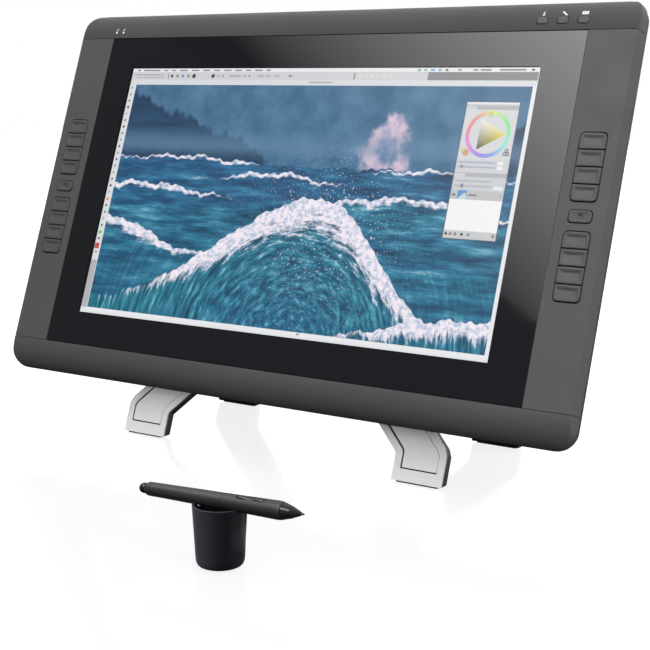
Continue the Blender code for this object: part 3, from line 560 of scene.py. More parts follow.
def evaluated(obj):
    graph = bpy.context.evaluated_depsgraph_get()
    mesh = bpy.data.meshes.new_from_object(obj.evaluated_get(graph))
    bpy.data.objects.remove(obj)
    return mesh


def combine(mesh, tools, kind="DIFFERENCE"):
    """The mesh after an exact Boolean with each tool in turn."""
    name = mesh.name
    obj = held(mesh)
    others = []
    for tool in tools:
        others.append(held(tool))
        modifier = obj.modifiers.new("combine", "BOOLEAN")
        modifier.operation = kind
        modifier.solver = "EXACT"
        modifier.object = others[-1]
    result = evaluated(obj)
    for other in others:
        bpy.data.objects.remove(other)
    result.name = name
    return result


def dressed(mesh, bevel=0.0003, segments=2, angle=32.0, wide=None):
    """Edges sharper than angle get a small round. wide(middle) can give an edge a larger share of it."""
    obj = held(mesh)
    if bevel:
        if wide:
            bm = bmesh.new()
            bm.from_mesh(mesh)
            layer = bm.edges.layers.float.new("bevel_weight_edge")
            for edge in bm.edges:
                if len(edge.link_faces) == 2 and edge.calc_face_angle(0) > math.radians(angle):
                    edge[layer] = wide((edge.verts[0].co + edge.verts[1].co) / 2)
            bm.to_mesh(mesh)
            bm.free()
        modifier = obj.modifiers.new("round", "BEVEL")
        modifier.width = bevel
        modifier.segments = segments
        modifier.limit_method = "WEIGHT" if wide else "ANGLE"
        modifier.angle_limit = math.radians(angle)
        modifier.harden_normals = False
        modifier.miter_outer = "MITER_ARC"
    result = evaluated(obj)
    result.polygons.foreach_set("use_smooth", [True] * len(result.polygons))
    result.set_sharp_from_angle(angle=math.radians(38))
    obj = held(result)
    weigh = obj.modifiers.new("even", "WEIGHTED_NORMAL")
    weigh.keep_sharp = True
    weigh.weight = 80
    return evaluated(obj)


def piece(name, mesh, material, body, at=DISPLAY, node=None, own_axes=False):
    """Adds a mesh that rides on a body, in world places unless its material needs the piece's own axes."""
    mesh.name = name
    if not own_axes:
        mesh.transform(at)
        at = WORLD
    obj = bpy.data.objects.new(name, mesh)
    bpy.context.scene.collection.objects.link(obj)
    mesh.materials.clear()
    for one in material if isinstance(material, (list, tuple)) else [material]:
        mesh.materials.append(one)
    obj.matrix_world = at
    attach(obj, body)
    if node:
        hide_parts(*([node] if isinstance(node, str) else node))
    return obj


def refined(node, body, material, at=WORLD, bevel=0.0003, cutters=(), name=None, segments=2):
    """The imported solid's own shape with its flat faces merged, its edges rounded and any fine cuts added."""
    bm = bmesh.new()
    bm.from_mesh(frame["nodes"][node].data)
    bmesh.ops.transform(bm, matrix=at.inverted(), verts=bm.verts)
    bmesh.ops.remove_doubles(bm, verts=bm.verts, dist=2e-6)
    bmesh.ops.dissolve_limit(bm, angle_limit=math.radians(0.6), verts=bm.verts, edges=bm.edges)
    mesh = mesh_of(node, bm)
    if cutters:
        mesh = combine(mesh, cutters)
    return piece(name or node + "_finish", dressed(mesh, bevel, segments), material, body, at, node)


# ------------------------------------------------------------------ front housing


def roll(y):
    share = min(1.0, max(0.0, (abs(y) - SEAM) / (HALF_H - SEAM)))
    return -ROLL * (1 - math.sqrt(1 - share * share))


SIDEWAYS = Matrix(((0, 0, 1, 0), (1, 0, 0, 0), (0, 1, 0, 0), (0, 0, 0, 1)))


def rolled(name, inset, base, steps):
    flare = (HALF_W - FACE_W) / BEVEL_DEPTH
    rings = []
    for z in (0.005, -BEVEL_DEPTH, base - 0.004):
        half = FACE_W + flare * min(-z, BEVEL_DEPTH) - inset
        rings.append(ring(half, HALF_H - inset, CORNER - inset, z, steps))
    last = math.acos(1 + SPLIT / ROLL)
    side = []
    for i in range(26):
        a = last * i / 25
        side.append((SEAM + (HALF_H - SEAM - inset) * math.sin(a), -inset - ROLL * (1 - math.cos(a))))
    side[-1] = (side[-1][0], base)
    outline = [(-y, z) for y, z in side] + side[::-1]
    return combine(loft(name, rings), [prism("ridge", outline, -0.34, 0.34, SIDEWAYS)], "INTERSECT")


def key_rows():
    """(name, middle's Y, half height, half width)"""
    rows = [(f"upper_{i + 1}", GROUP + PITCH * (3.5 - i), PITCH / 2, KEY_W / 2) for i in range(4)]
    rows.append(("middle", 0.0, MIDDLE_HALF[1], MIDDLE_HALF[0]))
    return rows + [(f"lower_{i + 1}", -GROUP - PITCH * (i + 0.5), PITCH / 2, KEY_W / 2) for i in range(4)]


def housing():
    shell = combine(rolled("shell", 0.0, SPLIT, 16), [rolled("inside", WALL, SPLIT - WALL, 10)])
    reach, beyond = 0.34, 0.21
    panel_x, panel_y, bar_y = GLASS_X + SLIT, SEAM - GAP / 2, SEAM + GAP / 2
    regions = {
        "top_bar": ((-reach, bar_y), (reach, beyond)),
        "bottom_bar": ((-reach, -beyond), (reach, -bar_y)),
        "left_key_panel": ((-reach, -panel_y), (-panel_x, panel_y)),
        "right_key_panel": ((panel_x, -panel_y), (reach, panel_y)),
    }
    middle, group = GROUP + 2 * PITCH, (KEY_W / 2, 2 * PITCH)
    openings = ((middle, group, 0.0044), (0, MIDDLE_HALF, 0.0038), (-middle, group, 0.0044))

    def opening(half_x, half_y, radius, steps, centre):
        return loft("opening", [ring(half_x, half_y, radius, z, steps, centre) for z in THROUGH])

    def share(at):
        """The whole round for the edge along the sides, a third of it elsewhere."""
        at_side, at_seam = abs(at.x) > FACE_W - 0.0004, abs(abs(at.y) - SEAM) < 0.0006
        return 1.0 if at_side and not at_seam and at.z > SPLIT + 0.001 else 0.32

    for name, (low, high) in regions.items():
        region = slab("region", (*low, THROUGH[0]), (*high, THROUGH[1]))
        part = combine(shell.copy(), [region], "INTERSECT")
        part.name = name
        tools = []
        if "panel" in name:
            x = KEY_X if "right" in name else -KEY_X
            for y, half, radius in openings:
                tools.append(opening(half[0] + SLIT, half[1] + SLIT, radius, 8, (x, y)))
        elif name == "top_bar":
            tools += [opening(0.0058, 0.0039, 0.0028, 6, (x, BUTTON_Y)) for x in BUTTONS_X]
            tools += [rod("light_hole", 0.00115, *THROUGH, centre=(x, LIGHTS_Y), sides=24) for x in LIGHTS_X]
        part = dressed(combine(part, tools) if tools else part, 0.0011, 3, 26.0, share)
        piece(name + "_shell", part, CASE, "display", node=name)


def side_key(row, hx, hy):
    """A key with a finger hollow: a step under its upper edge that runs out towards its lower one."""
    top, end_corner, inner_corner = 0.0009, 0.0041, 0.0004
    high = end_corner if row.endswith("_1") else inner_corner
    low = end_corner if row.endswith("_4") else inner_corner
    radii = (high, high, low, low) if row != "middle" else (0.0036,) * 4
    hx, hy = hx - 0.0001, hy - (0.0004 if row != "middle" else 0.0001)
    rings = []
    sides = ((0, 0.0065), (0, 0.0007), (0.00012, 0.0003), (0.00035, 0.0001), (0.0007, 0))
    for inset_by, z in sides:
        corners = tuple(max(0.0003, r - inset_by) for r in radii)
        rings.append(ring(hx - inset_by, hy - inset_by, corners, top - z, 8))
    if row == "middle":
        # a round dish: its lip as (inset across, inset up, radius, depth), then its rings as (radius, depth)
        lip = ((0.0026, 0.0020, 0.0024, 0), (0.0030, 0.0023, 0.0022, 0.0002))
        for inset_x, inset_y, r, z in (*lip, (0.0046, 0.0029, 0.0020, 0.0003)):
            rings.append(ring(hx - inset_x, hy - inset_y, r, top - z, 8))
        for r, z in ((0.0026, 0.0003), (0.0021, 0.0008), (0.0014, 0.00115), (0.0006, 0.00125)):
            rings.append(ring(r, r, r, top - z, 8))
        return loft(row, rings)
    upper, lower = hy - 0.0022, -hy + 0.0012
    # each ring of the hollow: inset across, inset along, share of the full depth
    hollow = (
        (0.0017, 0.0, 0.0), (0.0022, 0.0007, 0.12), (0.0029, 0.0017, 0.42),
        (0.0038, 0.0029, 0.78), (0.0048, 0.0038, 0.95), (0.0070, 0.0048, 1.0),
    )
    for inset_x, inset_y, share in hollow:
        a, b = lower + inset_y * 0.9, upper - inset_y * 0.75
        points = []
        for x, y, _ in ring(hx - inset_x, (b - a) / 2, 0.0011, 0, 8, (0, (a + b) / 2)):
            deep = 0.00110 * min(1.0, max(0.0, (y - lower) / (upper - lower))) ** 1.2
            points.append((x, y, top - deep * share))
        rings.append(points)
    return loft(row, rings)


def keys():
    for side, side_name in ((-1, "left"), (1, "right")):
        for row, y, hy, hx in key_rows():
            node = f"{side_name}_key_{row}"
            at = DISPLAY @ Matrix.Translation((side * KEY_X, y, 0))
            piece(node + "_cap", dressed(side_key(row, hx, hy), 0), KEY, node, at, node)


def top_controls():
    top = roll(BUTTON_Y) + 0.0006
    rows = ((0, -0.0055), (0, -0.0008), (0.0002, -0.00035), (0.0006, -0.0001))
    rings = stacked(0.0054, 0.0035, 0.0024, 8, (*rows, (0.0012, 0.0), (0.0022, 0.0), (0.0030, 0.0)))
    for i, x in enumerate(BUTTONS_X):
        node = f"top_button_{i + 1}"
        at = DISPLAY @ Matrix.Translation((x, BUTTON_Y, top))
        piece(node + "_cap", dressed(loft(node, rings), 0), KEY, node, at, node)
    glyphs = {
        "touch_mark": (BUTTONS_X[0], [
            [(-0.0005, 0.0022), (0.0005, 0.0022), (0.0008, 0.0012), (-0.0003, 0.0012)],
            [(-0.0006, 0.0008), (0.0006, 0.0008), (0.0009, -0.0020), (-0.0009, -0.0020)],
        ]),
        "tool_mark": (BUTTONS_X[1], [
            [(-0.0026, 0.0016), (-0.0014, 0.0022), (0.0024, -0.0008), (0.0016, -0.0020)],
            [(0.0016, -0.0020), (0.0028, -0.0010), (0.0030, -0.0018), (0.0024, -0.0024)],
        ]),
        "keyboard_mark": (BUTTONS_X[2], [
            [(left, -0.0018), (left + 0.0012, -0.0018), (left + 0.0012, 0.0018), (left, 0.0018)]
            for left in (-0.0030, -0.0014, 0.0002, 0.0018)
        ]),
    }
    for name, (x, shapes) in glyphs.items():
        piece(name, on_roll(name, shapes, (x, 0.1858)), GLOWING_MARK, "display")
    ticks = [
        [(x - 0.0004, 0.0032), (x + 0.0006, 0.0034), (x - 0.0002, 0.0008), (x - 0.0012, 0.0006)]
        for x in (-0.0042, 0.0050)
    ]
    piece("light_ticks", on_roll("light_ticks", ticks, (-0.2703, LIGHTS_Y + 0.0012)), GLOWING_MARK, "display")
    dome = [(0, 0.00045), (0.0005, 0.0004), (0.0009, 0.0002), (0.00105, -0.0001)]
    dome += [(0.00105, -0.004), (0, -0.004)]
    spots = [Matrix.Translation((x, LIGHTS_Y, roll(LIGHTS_Y))) for x in LIGHTS_X]
    lenses = dressed(joined("lights", [lathe("lens", dome, 24, spot) for spot in spots]), 0)
    piece("status_lights", lenses, LIGHT, "display", node="status_light_pipe")


def on_roll(name, shapes, centre):
    """Thin printed shapes that follow the curve of the top bar."""
    bm = bmesh.new()
    for outline in shapes:
        rows = [[], []]
        for x, y in outline:
            y += centre[1]
            for row, lift in zip(rows, (0.00008, -0.0002)):
                row.append(bm.verts.new((x + centre[0], y, roll(y) + lift)))
        bm.faces.new(rows[0])
        bm.faces.new(rows[1][::-1])
        for i in range(len(outline)):
            j = (i + 1) % len(outline)
            bm.faces.new((rows[0][i], rows[0][j], rows[1][j], rows[1][i]))
    return mesh_of(name, bm)


# ------------------------------------------------------------------ screen


def screen():
    def show(name, mesh, material, node):
        piece(name, mesh, material, "display", node=node, own_axes=True)

    glass = block("glass", 0, 0, GLASS_X, GLASS_Y, GLASS_TOP - 0.002, GLASS_TOP)
    show("etched_cover_glass", dressed(glass, 0.0002), GLASS, "cover_glass")
    low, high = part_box("lcd_panel")
    panel = block("panel", 0, 0, (high.x - low.x) / 2, 0.1455, -0.0044, SCREEN_FACE)
    show("lit_panel", dressed(panel, 0.0002), PANEL, "lcd_panel")
    show("painted_canvas", canvas(), SEA, None)
    desktop()


WHITE, PALE, LIGHT_GREY = (0.82, 0.83, 0.85), (0.62, 0.63, 0.65), (0.44, 0.45, 0.47)
MID, DARK = (0.24, 0.24, 0.25), (0.03, 0.03, 0.035)
BLUE, GREEN, AMBER, RED = (0.10, 0.30, 0.62), (0.10, 0.55, 0.12), (0.75, 0.42, 0.12), (0.55, 0.06, 0.06)
SLIDER = (0.35, 0.42, 0.60)


def hue(share):
    """A bright colour round the wheel, as linear light."""
    parts = [abs((share * 6 + k) % 6 - 3) - 1 for k in (0, 4, 2)]
    return tuple(0.28 + 0.5 * min(1, max(0, p)) ** 1.6 for p in parts)


def desktop():
    """A painting program with no lettering: bars, tool strip, colour wheel and layer list."""
    bm = bmesh.new()
    layer = bm.loops.layers.float_color.new("tint")

    def shape(points, tint, level):
        """A flat chip on the picture; level sets its height, in steps of 20 micrometres."""
        tints = tint if isinstance(tint, list) else [tint] * len(points)
        rows = []
        for z in (UNDER_SCREEN, SCREEN_FACE + 0.00002 * level):
            rows.append([bm.verts.new((*on_screen(*point).xy, z)) for point in points])
        low, high = rows
        own = {vert: tint for row in rows for vert, tint in zip(row, tints)}
        area = sum(a.co.x * b.co.y - b.co.x * a.co.y for a, b in zip(high, high[1:] + high[:1]))
        faces = [bm.faces.new(high if area > 0 else high[::-1]), bm.faces.new(low[::-1] if area > 0 else low)]
        for i in range(len(points)):
            j = (i + 1) % len(points)
            side = (low[i], low[j], high[j], high[i])
            faces.append(bm.faces.new(side if area > 0 else side[::-1]))
        for face in faces:
            for loop in face.loops:
                loop[layer] = (*own[loop.vert], 1.0)

    def box(x0, y0, x1, y1, tint, level=1):
        shape([(x0, y1), (x1, y1), (x1, y0), (x0, y0)], tint, level)

    def wheel(column, row, radius, tint, level, sides):
        shape(wheel_points(column, row, radius, sides), tint, level)

    box(-9, -2, 1276, 8, WHITE)
    box(-9, 8, 973, 31, PALE)
    box(973, 9, 1276, 31, MID)
    box(-9, 31, 1276, 45, (0.70, 0.71, 0.73))
    box(-9, 45, 12, 570, (0.72, 0.73, 0.74))
    box(-9, 570, 12, 707, LIGHT_GREY)
    # menu words and their toolbar, as plain dashes and dots
    x = 10
    for i, width in enumerate((8, 62, 16, 16, 30, 28, 26, 22, 26, 24, 18, 26, 14)):
        box(x, 1.5, x + width, 5.5, DARK if i == 0 else MID, 2)
        x += width + 13
    signs = (
        (940, 10, MID), (958, 10, GREEN), (978, 12, BLUE), (1000, 9, MID), (1020, 8, DARK),
        (1056, 10, MID), (1098, 14, MID), (1118, 30, MID), (1170, 72, MID), (1256, 8, DARK),
    )
    for x, width, tint in signs:
        box(x, 1.5, x + width, 6, tint, 2)
    box(126, 10, 129, 29, MID, 2)
    box(0, 14, 110, 19, LIGHT_GREY, 2)
    box(12, 23, 112, 26, LIGHT_GREY, 2)
    for i in range(5):
        wheel(140 + 20 * i, 20, 5 if i < 4 else 7, MID if i % 2 else BLUE if i == 2 else DARK, 2, 6)
    wheel(288, 20, 6, DARK, 2, 12)
    fields = ((300, 14), (345, 40), (392, 12), (440, 22), (470, 14), (498, 16), (545, 10), (320, 5), (412, 5))
    for x, width in fields:
        box(x, 17, x + width, 23, LIGHT_GREY if width > 10 else MID, 2)
    box(752, 10, 756, 29, MID, 2)
    for i in range(6):
        wheel(772 + 18 * i, 20, 6, (0.72, 0.70, 0.62), 2, 5)
    box(615, 35, 690, 40, LIGHT_GREY, 2)
    for i in range(26):
        tint = (DARK, MID, (0.12, 0.13, 0.15))[i % 3]
        y = 56 + i * 19.6
        if i == 24:
            box(-8, y - 6, 8, y + 10, RED, 2)
        elif i in (17, 22):
            box(-5, y - 3, 6, y + 5, AMBER if i == 17 else GREEN, 2)
        else:
            wheel(1, y, 4.2, tint, 2, 3 + i % 4)
    # window edges
    box(1267, 45, 1276, 716, WHITE)
    box(12, 706, 1276, 716, WHITE)
    box(733, 709, 742, 713, MID, 2)
    # panel
    box(1097, 85, 1243, 434, (0.10, 0.12, 0.14), 1)
    box(1099, 87, 1241, 432, PALE, 2)
    box(1099, 87, 1241, 91, WHITE, 3)
    box(1099, 95, 1241, 106, LIGHT_GREY, 3)
    box(1099, 97, 1127, 106, PALE, 4)
    box(1099, 106, 1241, 232, (0.66, 0.67, 0.68), 3)
    count = 60
    for i in range(count):
        a, b = (2 * math.pi * (i + k) / count for k in (0, 1))
        points, tints = [], []
        for angle, radius in ((a, 50), (b, 50), (b, 60), (a, 60)):
            points.append((1170 + radius * math.cos(angle), 168 + radius * math.sin(angle)))
            tints.append(hue(0.415 + angle / (2 * math.pi)))
        shape(points, tints, 4)
    shades = [(0.03, 0.03, 0.02), (0.80, 0.66, 0.05), (0.85, 0.85, 0.80)]
    shape([(1146, 208), (1216, 168), (1146, 129)], shades, 4)
    box(1164, 113, 1174, 123, (0.40, 0.42, 0.10), 5)
    box(1166, 115, 1172, 121, (0.72, 0.74, 0.30), 6)
    wheel(1111, 209, 8, (0.70, 0.62, 0.20), 5, 16)
    wheel(1111, 209, 5, (0.62, 0.63, 0.64), 6, 16)
    wheel(1119, 216, 8.5, (0.66, 0.34, 0.18), 7, 16)
    for x, y in ((1228, 208), (1224, 217), (1232, 217)):
        wheel(x, y, 5, DARK, 5, 12)
        wheel(x, y, 3, PALE, 6, 12)
    for y in (240, 252):
        box(1104, y - 2, 1206, y, LIGHT_GREY, 3)
        box(1104, y, 1206, y + 2, SLIDER, 3)
        box(1211, y - 4, 1226, y + 5, WHITE, 3)
    box(1112, 247, 1118, 255, MID, 4)
    box(1099, 266, 1241, 277, LIGHT_GREY, 3)
    box(1099, 268, 1129, 277, PALE, 4)
    box(1099, 278, 1241, 311, (0.60, 0.61, 0.63), 3)
    for y in (285, 298):
        box(1104, y, 1206, y + 3, LIGHT_GREY, 4)
        box(1108, y + 4, 1204, y + 5, SLIDER, 4)
    box(1122, 295, 1129, 305, MID, 5)
    box(1211, 299, 1236, 307, WHITE, 4)
    box(1099, 311, 1241, 334, (0.52, 0.53, 0.54), 3)
    box(1118, 311, 1142, 334, BLUE, 4)
    shape([(1118, 334), (1130, 322), (1138, 316), (1142, 328), (1142, 334)], (0.55, 0.68, 0.74), 5)
    box(1104, 321, 1112, 325, DARK, 4)
    box(1147, 320, 1170, 325, MID, 4)
    box(1228, 318, 1235, 326, LIGHT_GREY, 4)
    box(1099, 334, 1241, 412, (0.90, 0.90, 0.91), 3)
    box(1099, 412, 1241, 431, (0.58, 0.59, 0.60), 3)
    for i, x in enumerate((1106, 1118, 1131, 1149, 1167, 1233)):
        wheel(x, 421, 4.6, DARK if i in (0, 3) else MID, 4, 4 + i % 3)
    mesh = bpy.data.meshes.new("desktop")
    bm.to_mesh(mesh)
    bm.free()
    piece("painting_program", mesh, DESKTOP, "display", own_axes=True)


def wheel_points(column, row, radius, sides):
    angles = [2 * math.pi * k / sides for k in range(sides)]
    return [(column + radius * math.cos(a), row + radius * math.sin(a)) for a in angles]


# ------------------------------------------------------------------ back of the display


def screw_head(x, y, z, radius=0.0026):
    """A countersunk screw with a cross recess, seen from behind (its top faces -Z)."""
    profile = [(0, -0.0007), (radius * 0.8, -0.0007), (radius, -0.0002), (radius, 0.0008), (0, 0.0008)]
    arm, half = radius * 0.62, radius * 0.14
    cross = [block("arm", 0, 0, x, y, -0.002, -0.0001) for x, y in ((arm, half), (half, arm))]
    head = combine(lathe("head", profile, 24), cross)
    head.transform(Matrix.Translation((x, y, z)))
    return head


BACK_SCREWS = [(x, y) for x in (-0.262, -0.120, 0.120, 0.262) for y in (-0.140, 0.140)]
BAY_Y, STRIP_X = 0.104, 0.274


def dished(name, thickness, steps, rows):
    """The back's bowl: each row is (height, inset across, inset up, change of the corner's radius)."""
    half_x, half_y = HALF_W - thickness, HALF_H - thickness
    return loft(name, [ring(half_x - dx, half_y - dy, CORNER + r, z, steps) for z, dx, dy, r in rows])


def rear_cover():
    outer = dished("rear_cover", 0, 14, (
        (SPLIT - GAP, 0.0004, 0.0002, 0.0), (-0.020, 0.0012, 0.0010, 0.0), (-0.034, 0.010, 0.009, 0.002),
        (-0.0455, 0.028, 0.028, 0.006), (-0.0474, 0.0305, 0.0305, 0.005), (-0.048, 0.033, 0.033, 0.004),
    ))
    inner = dished("inside", WALL, 8, (
        (SPLIT + WALL, 0, 0, -WALL), (-0.020, 0.0012, 0.0010, -WALL), (-0.033, 0.010, 0.009, 0.0),
        (-0.0435, 0.028, 0.028, 0.004), (-0.0455, 0.033, 0.033, 0.002),
    ))
    # left solid round the hub's pocket and the connector bay
    boss = rod("boss", 0.0725, FAR_BACK, -0.0375, sides=64)
    bay_boss = slab("bay_boss", (-0.0625, 0.0875, FAR_BACK), (0.0625, 0.1205, -0.0315))
    inner = combine(inner, [boss, bay_boss])
    pitch, slot_depth = 0.0066, -0.0466
    slots = [((i - 10.5) * pitch, -0.154, 0.004) for i in range(22)]
    for row in range(3):
        slots += [((i - 16.5) * pitch + 0.0011 * row, 0.138 + 0.009 * row, 0.003) for i in range(34)]
    vents = [block("slot", x, y, 0.0014, half, FAR_BACK, slot_depth) for x, y, half in slots]
    wells = [rod("well", 0.0032, FAR_BACK, slot_depth, centre=spot, sides=24) for spot in BACK_SCREWS]
    lines = [block("line", 0, y, 0.2, 0.0003, FAR_BACK, -0.0474) for y in (-0.1276, 0.1276)]
    pocket = rod("pocket", 0.070, FAR_BACK, -0.040, sides=96)
    bay = loft("bay", [ring(0.060, 0.014, 0.0015, z, 4, (0, BAY_Y)) for z in (FAR_BACK, -0.034)])
    strips = []
    for x in (-STRIP_X, STRIP_X):
        strips.append(loft("strip", [ring(0.0078, 0.0503, 0.0033, z, 8, (x, 0)) for z in (-0.058, -0.0468)]))
    power = slab("power", (-0.2423, 0.17, -0.0273), (-0.2277, 0.22, -0.0197))
    fine = [joined("vents", vents), joined("wells", wells), joined("lines", lines)]
    cover = dressed(combine(outer, [inner, pocket, bay, *strips, power, *fine]), 0.0003, 2)
    piece("rear_cover_shell", cover, BACK, "display", node="rear_cover")
    heads = joined("heads", [screw_head(x, y, -0.0468) for x, y in BACK_SCREWS])
    piece("back_screws", dressed(heads, 0), STEEL, "display")


def back_details():
    dot = [(0, 0.001), (0.0006, 0.001), (0.0008, -0.0001), (0, -0.0001)]
    for x, name in ((-STRIP_X, "left"), (STRIP_X, "right")):
        rows = ((0.0016, -0.0004), (0.0006, -0.0003), (0.0001, 0.0), (0, 0.0004), (0, 0.0009))
        strip = loft("strip", stacked(0.0075, 0.050, 0.003, 8, rows, 0.5))
        spots = [Matrix.Translation((0, y, -0.0005)) for y in (-0.030, -0.015, 0, 0.015, 0.030)]
        strip = dressed(combine(strip, [lathe("dot", dot, 16, spot) for spot in spots]), 0)
        at = DISPLAY @ Matrix.Translation((x, 0, -0.048))
        piece(name + "_finger_strip", strip, KEY, "display", at, name + "_touch_strip")
    at = DISPLAY @ Matrix.Translation((-0.235, 0.1969, -0.0235)) @ Matrix.Rotation(-math.pi / 2, 4, "X")
    rows = ((0, -0.005), (0, 0.0001), (0.0002, 0.0004), (0.0006, 0.0006), (0.0014, 0.0006), (0.0022, 0.00035))
    cap = dressed(loft("power", stacked(0.007, 0.0035, 0.0004, 6, rows, -0.4)), 0)
    piece("power_button_cap", cap, KEY, "power_button", at, "power_button")
    # an open circle with a stroke at its gap
    inner, outer, half, parts = 0.0010, 0.0013, 0.00015, 22
    marks = [[(-half, 0.0003), (half, 0.0003), (half, 0.0015), (-half, 0.0015)]]
    for i in range(parts):
        a, b = (math.radians(120 + 300 * (i + k) / parts) for k in (0, 1))
        corners = ((a, inner), (b, inner), (b, outer), (a, outer))
        marks.append([(r * math.cos(t), r * math.sin(t)) for t, r in corners])
    mesh = joined("power_mark", [prism("mark", outline, 0.0002, 0.00042) for outline in marks])
    piece("power_mark", mesh, GLOWING_MARK, "power_button", at)


def sockets():
    y, top, bottom, floor = BAY_Y, -0.0343, -0.044, -0.0363
    for name, x, half, mouth, count in (
        ("video_socket", 0.020, (0.0215, 0.0070), (0.0180, 0.0040), 12),
        ("usb_socket", -0.017, (0.0075, 0.0070), (0.0045, 0.0042), 4),
    ):
        body = combine(block(name, x, y, *half, bottom, top), [block("hole", x, y, *mouth, FAR_BACK, floor)])
        piece(name + "_shell", dressed(body, 0.0004, 2), STEEL, "display", node=name)
        tongue = block("tongue", x, y, mouth[0] - 0.0014, 0.0008, bottom + 0.0012, floor + 0.0001)
        piece(name + "_tongue", dressed(tongue, 0.0002), BACK, "display")
        pitch = mouth[0] * 1.6 / count
        places = [x + (i - (count - 1) / 2) * pitch for i in range(count)]
        pins = [block("pin", place, y, 0.0004, 0.0010, bottom + 0.002, floor - 0.0002) for place in places]
        piece(name + "_contacts", dressed(joined("pins", pins), 0), GOLD, "display")
    x, end = -0.042, floor - 0.0001
    hole = rod("hole", 0.0048, FAR_BACK, floor, centre=(x, y), sides=40)
    body = dressed(combine(block("power_socket", x, y, 0.0065, 0.0065, bottom, top), [hole]), 0.0004, 2)
    piece("power_socket_shell", body, BACK, "display", node="power_socket")
    tip = bottom + 0.0014
    profile = [(0, tip), (0.0004, tip), (0.0008, tip + 0.0006), (0.0008, end), (0, end)]
    pin = lathe("pin", profile, 24, Matrix.Translation((x, y, 0)))
    piece("power_socket_pin", dressed(pin, 0), GOLD, "display")


def insides():
    looks = {"backlight_unit": SILVER, "pen_sensor_board": BOARD, "shield_plate": STEEL, "main_board": BOARD}
    for node, material in looks.items():
        frame["nodes"][node].data.materials.clear()
        frame["nodes"][node].data.materials.append(material)


# ------------------------------------------------------------------ stand

OUTER, INNER = -0.024, -0.0845
FOOT_OUT, FOOT_IN = 0.189, 0.1365
KNEE = [(FOOT_OUT, -0.217), (0.186, -0.210)]
ANKLE = (FOOT_IN, -0.221)
LEG_RIM, FOOT_RIM, INLAY_TOP = 0.0070, 0.0115, 0.074
INLAY_RADII = [0.001, 0.007, 0.009, 0.001, 0.001, 0.008, 0.001]
FLOOR_Z = 0.0018


def floor_tool(at):
    tool = slab("floor", (-0.5, -0.5, -0.1), (0.5, 0.5, FLOOR_Z))
    tool.transform(at.inverted())
    return tool


def rounded(points, radii, steps=8):
    """The outline with each corner turned into an arc of its radius."""
    out = []
    for i, here in enumerate(points):
        radius = radii[i] if isinstance(radii, (list, tuple)) else radii
        here, before, after = Vector(here), Vector(points[i - 1]), Vector(points[(i + 1) % len(points)])
        to, on = (before - here).normalized(), (after - here).normalized()
        half = to.angle(on) / 2
        if radius <= 0 or half > math.pi / 2 - 0.01:
            out.append(tuple(here))
            continue
        centre = here + (to + on).normalized() * radius / math.sin(half)
        start, end = (here + way * radius / math.tan(half) - centre for way in (to, on))
        turn = start.angle_signed(end)
        for k in range(steps + 1):
            arm = start.copy()
            arm.rotate(Matrix.Rotation(-turn * k / steps, 2))
            out.append(tuple(centre + arm))
    return out


def inset(points, distances):
    """The outline with each edge moved inward; distances[i] belongs to the edge from point i."""
    area = sum(a[0] * b[1] - b[0] * a[1] for a, b in zip(points, points[1:] + points[:1]))
    sign = 1 if area > 0 else -1
    lines = []
    for i, here in enumerate(points):
        run = (Vector(points[(i + 1) % len(points)]) - Vector(here)).normalized()
        lines.append((Vector(here) + Vector((-run.y, run.x)) * sign * distances[i], run))
    out = []
    for i in range(len(points)):
        (p, d), (q, e) = lines[i - 1], lines[i]
        cross = d.x * e.y - d.y * e.x
        t = ((q.x - p.x) * e.y - (q.y - p.y) * e.x) / cross
        out.append(tuple(p + d * t))
    return out


def flipped(points, side):
    return [(side * x, y) for x, y in points]


def inlay_outline(bottom):
    """The inlaid panel of the right leg, down to its foot at this height."""
    reach = INLAY_TOP / math.sqrt(2)
    outer = (reach + OUTER / 2, OUTER / 2 - reach)
    inner = (reach + INNER / 2, INNER / 2 - reach)
    leg = [(FOOT_OUT, bottom), *KNEE, outer, inner, ANKLE, (FOOT_IN, bottom)]
    return inset(leg, [LEG_RIM] * 6 + [FOOT_RIM])


def front_stand():
    refined("front_legs", "stand", LEG_BLACK, DISPLAY, 0.0006, segments=3)
    foot, inlay_foot, arm, root = -0.262, -0.2462, 0.031, 0.004
    leg = [(FOOT_OUT, foot), *KNEE, (arm, OUTER - arm), (root, OUTER - root), (root, INNER - root), ANKLE]
    leg.append((FOOT_IN, foot))
    well = inlay_outline(inlay_foot)
    wide, narrow, under, over = 0.0018, 0.0005, 0.0012, 0.0008
    for side, name in ((-1, "left"), (1, "right")):
        outline = rounded(flipped(leg, side), [0, 0.010, 0.010, 0, 0, 0, 0.007, 0])
        # the groove round the inlay is wider on the side towards -X; its edges run up the outer side first
        outer, inner = (narrow, wide) if side > 0 else (wide, narrow)
        panel = inset(well, [outer] * 3 + [over] + [inner] * 2 + [under])
        cover = prism("cover", outline, LEG_FRONT - 0.002, LEG_FRONT)
        hub = rod("hub", 0.0623, -0.07, -0.04, sides=96)
        hole = prism("well", rounded(flipped(well, side), INLAY_RADII), FAR_BACK, -0.04)
        cover = dressed(combine(cover, [hub, floor_tool(DISPLAY), hole]), 0.0005, 3)
        piece(f"{name}_leg_silver_rim", cover, SILVER, "stand", node=f"{name}_leg_cover")
        outline = rounded(flipped(panel, side), INLAY_RADII)
        plate = prism("inlay", outline, LEG_FRONT - 0.002, LEG_FRONT - 0.0001)
        piece(f"{name}_leg_inlay", dressed(plate, 0.0003, 2), SILVER, "stand")


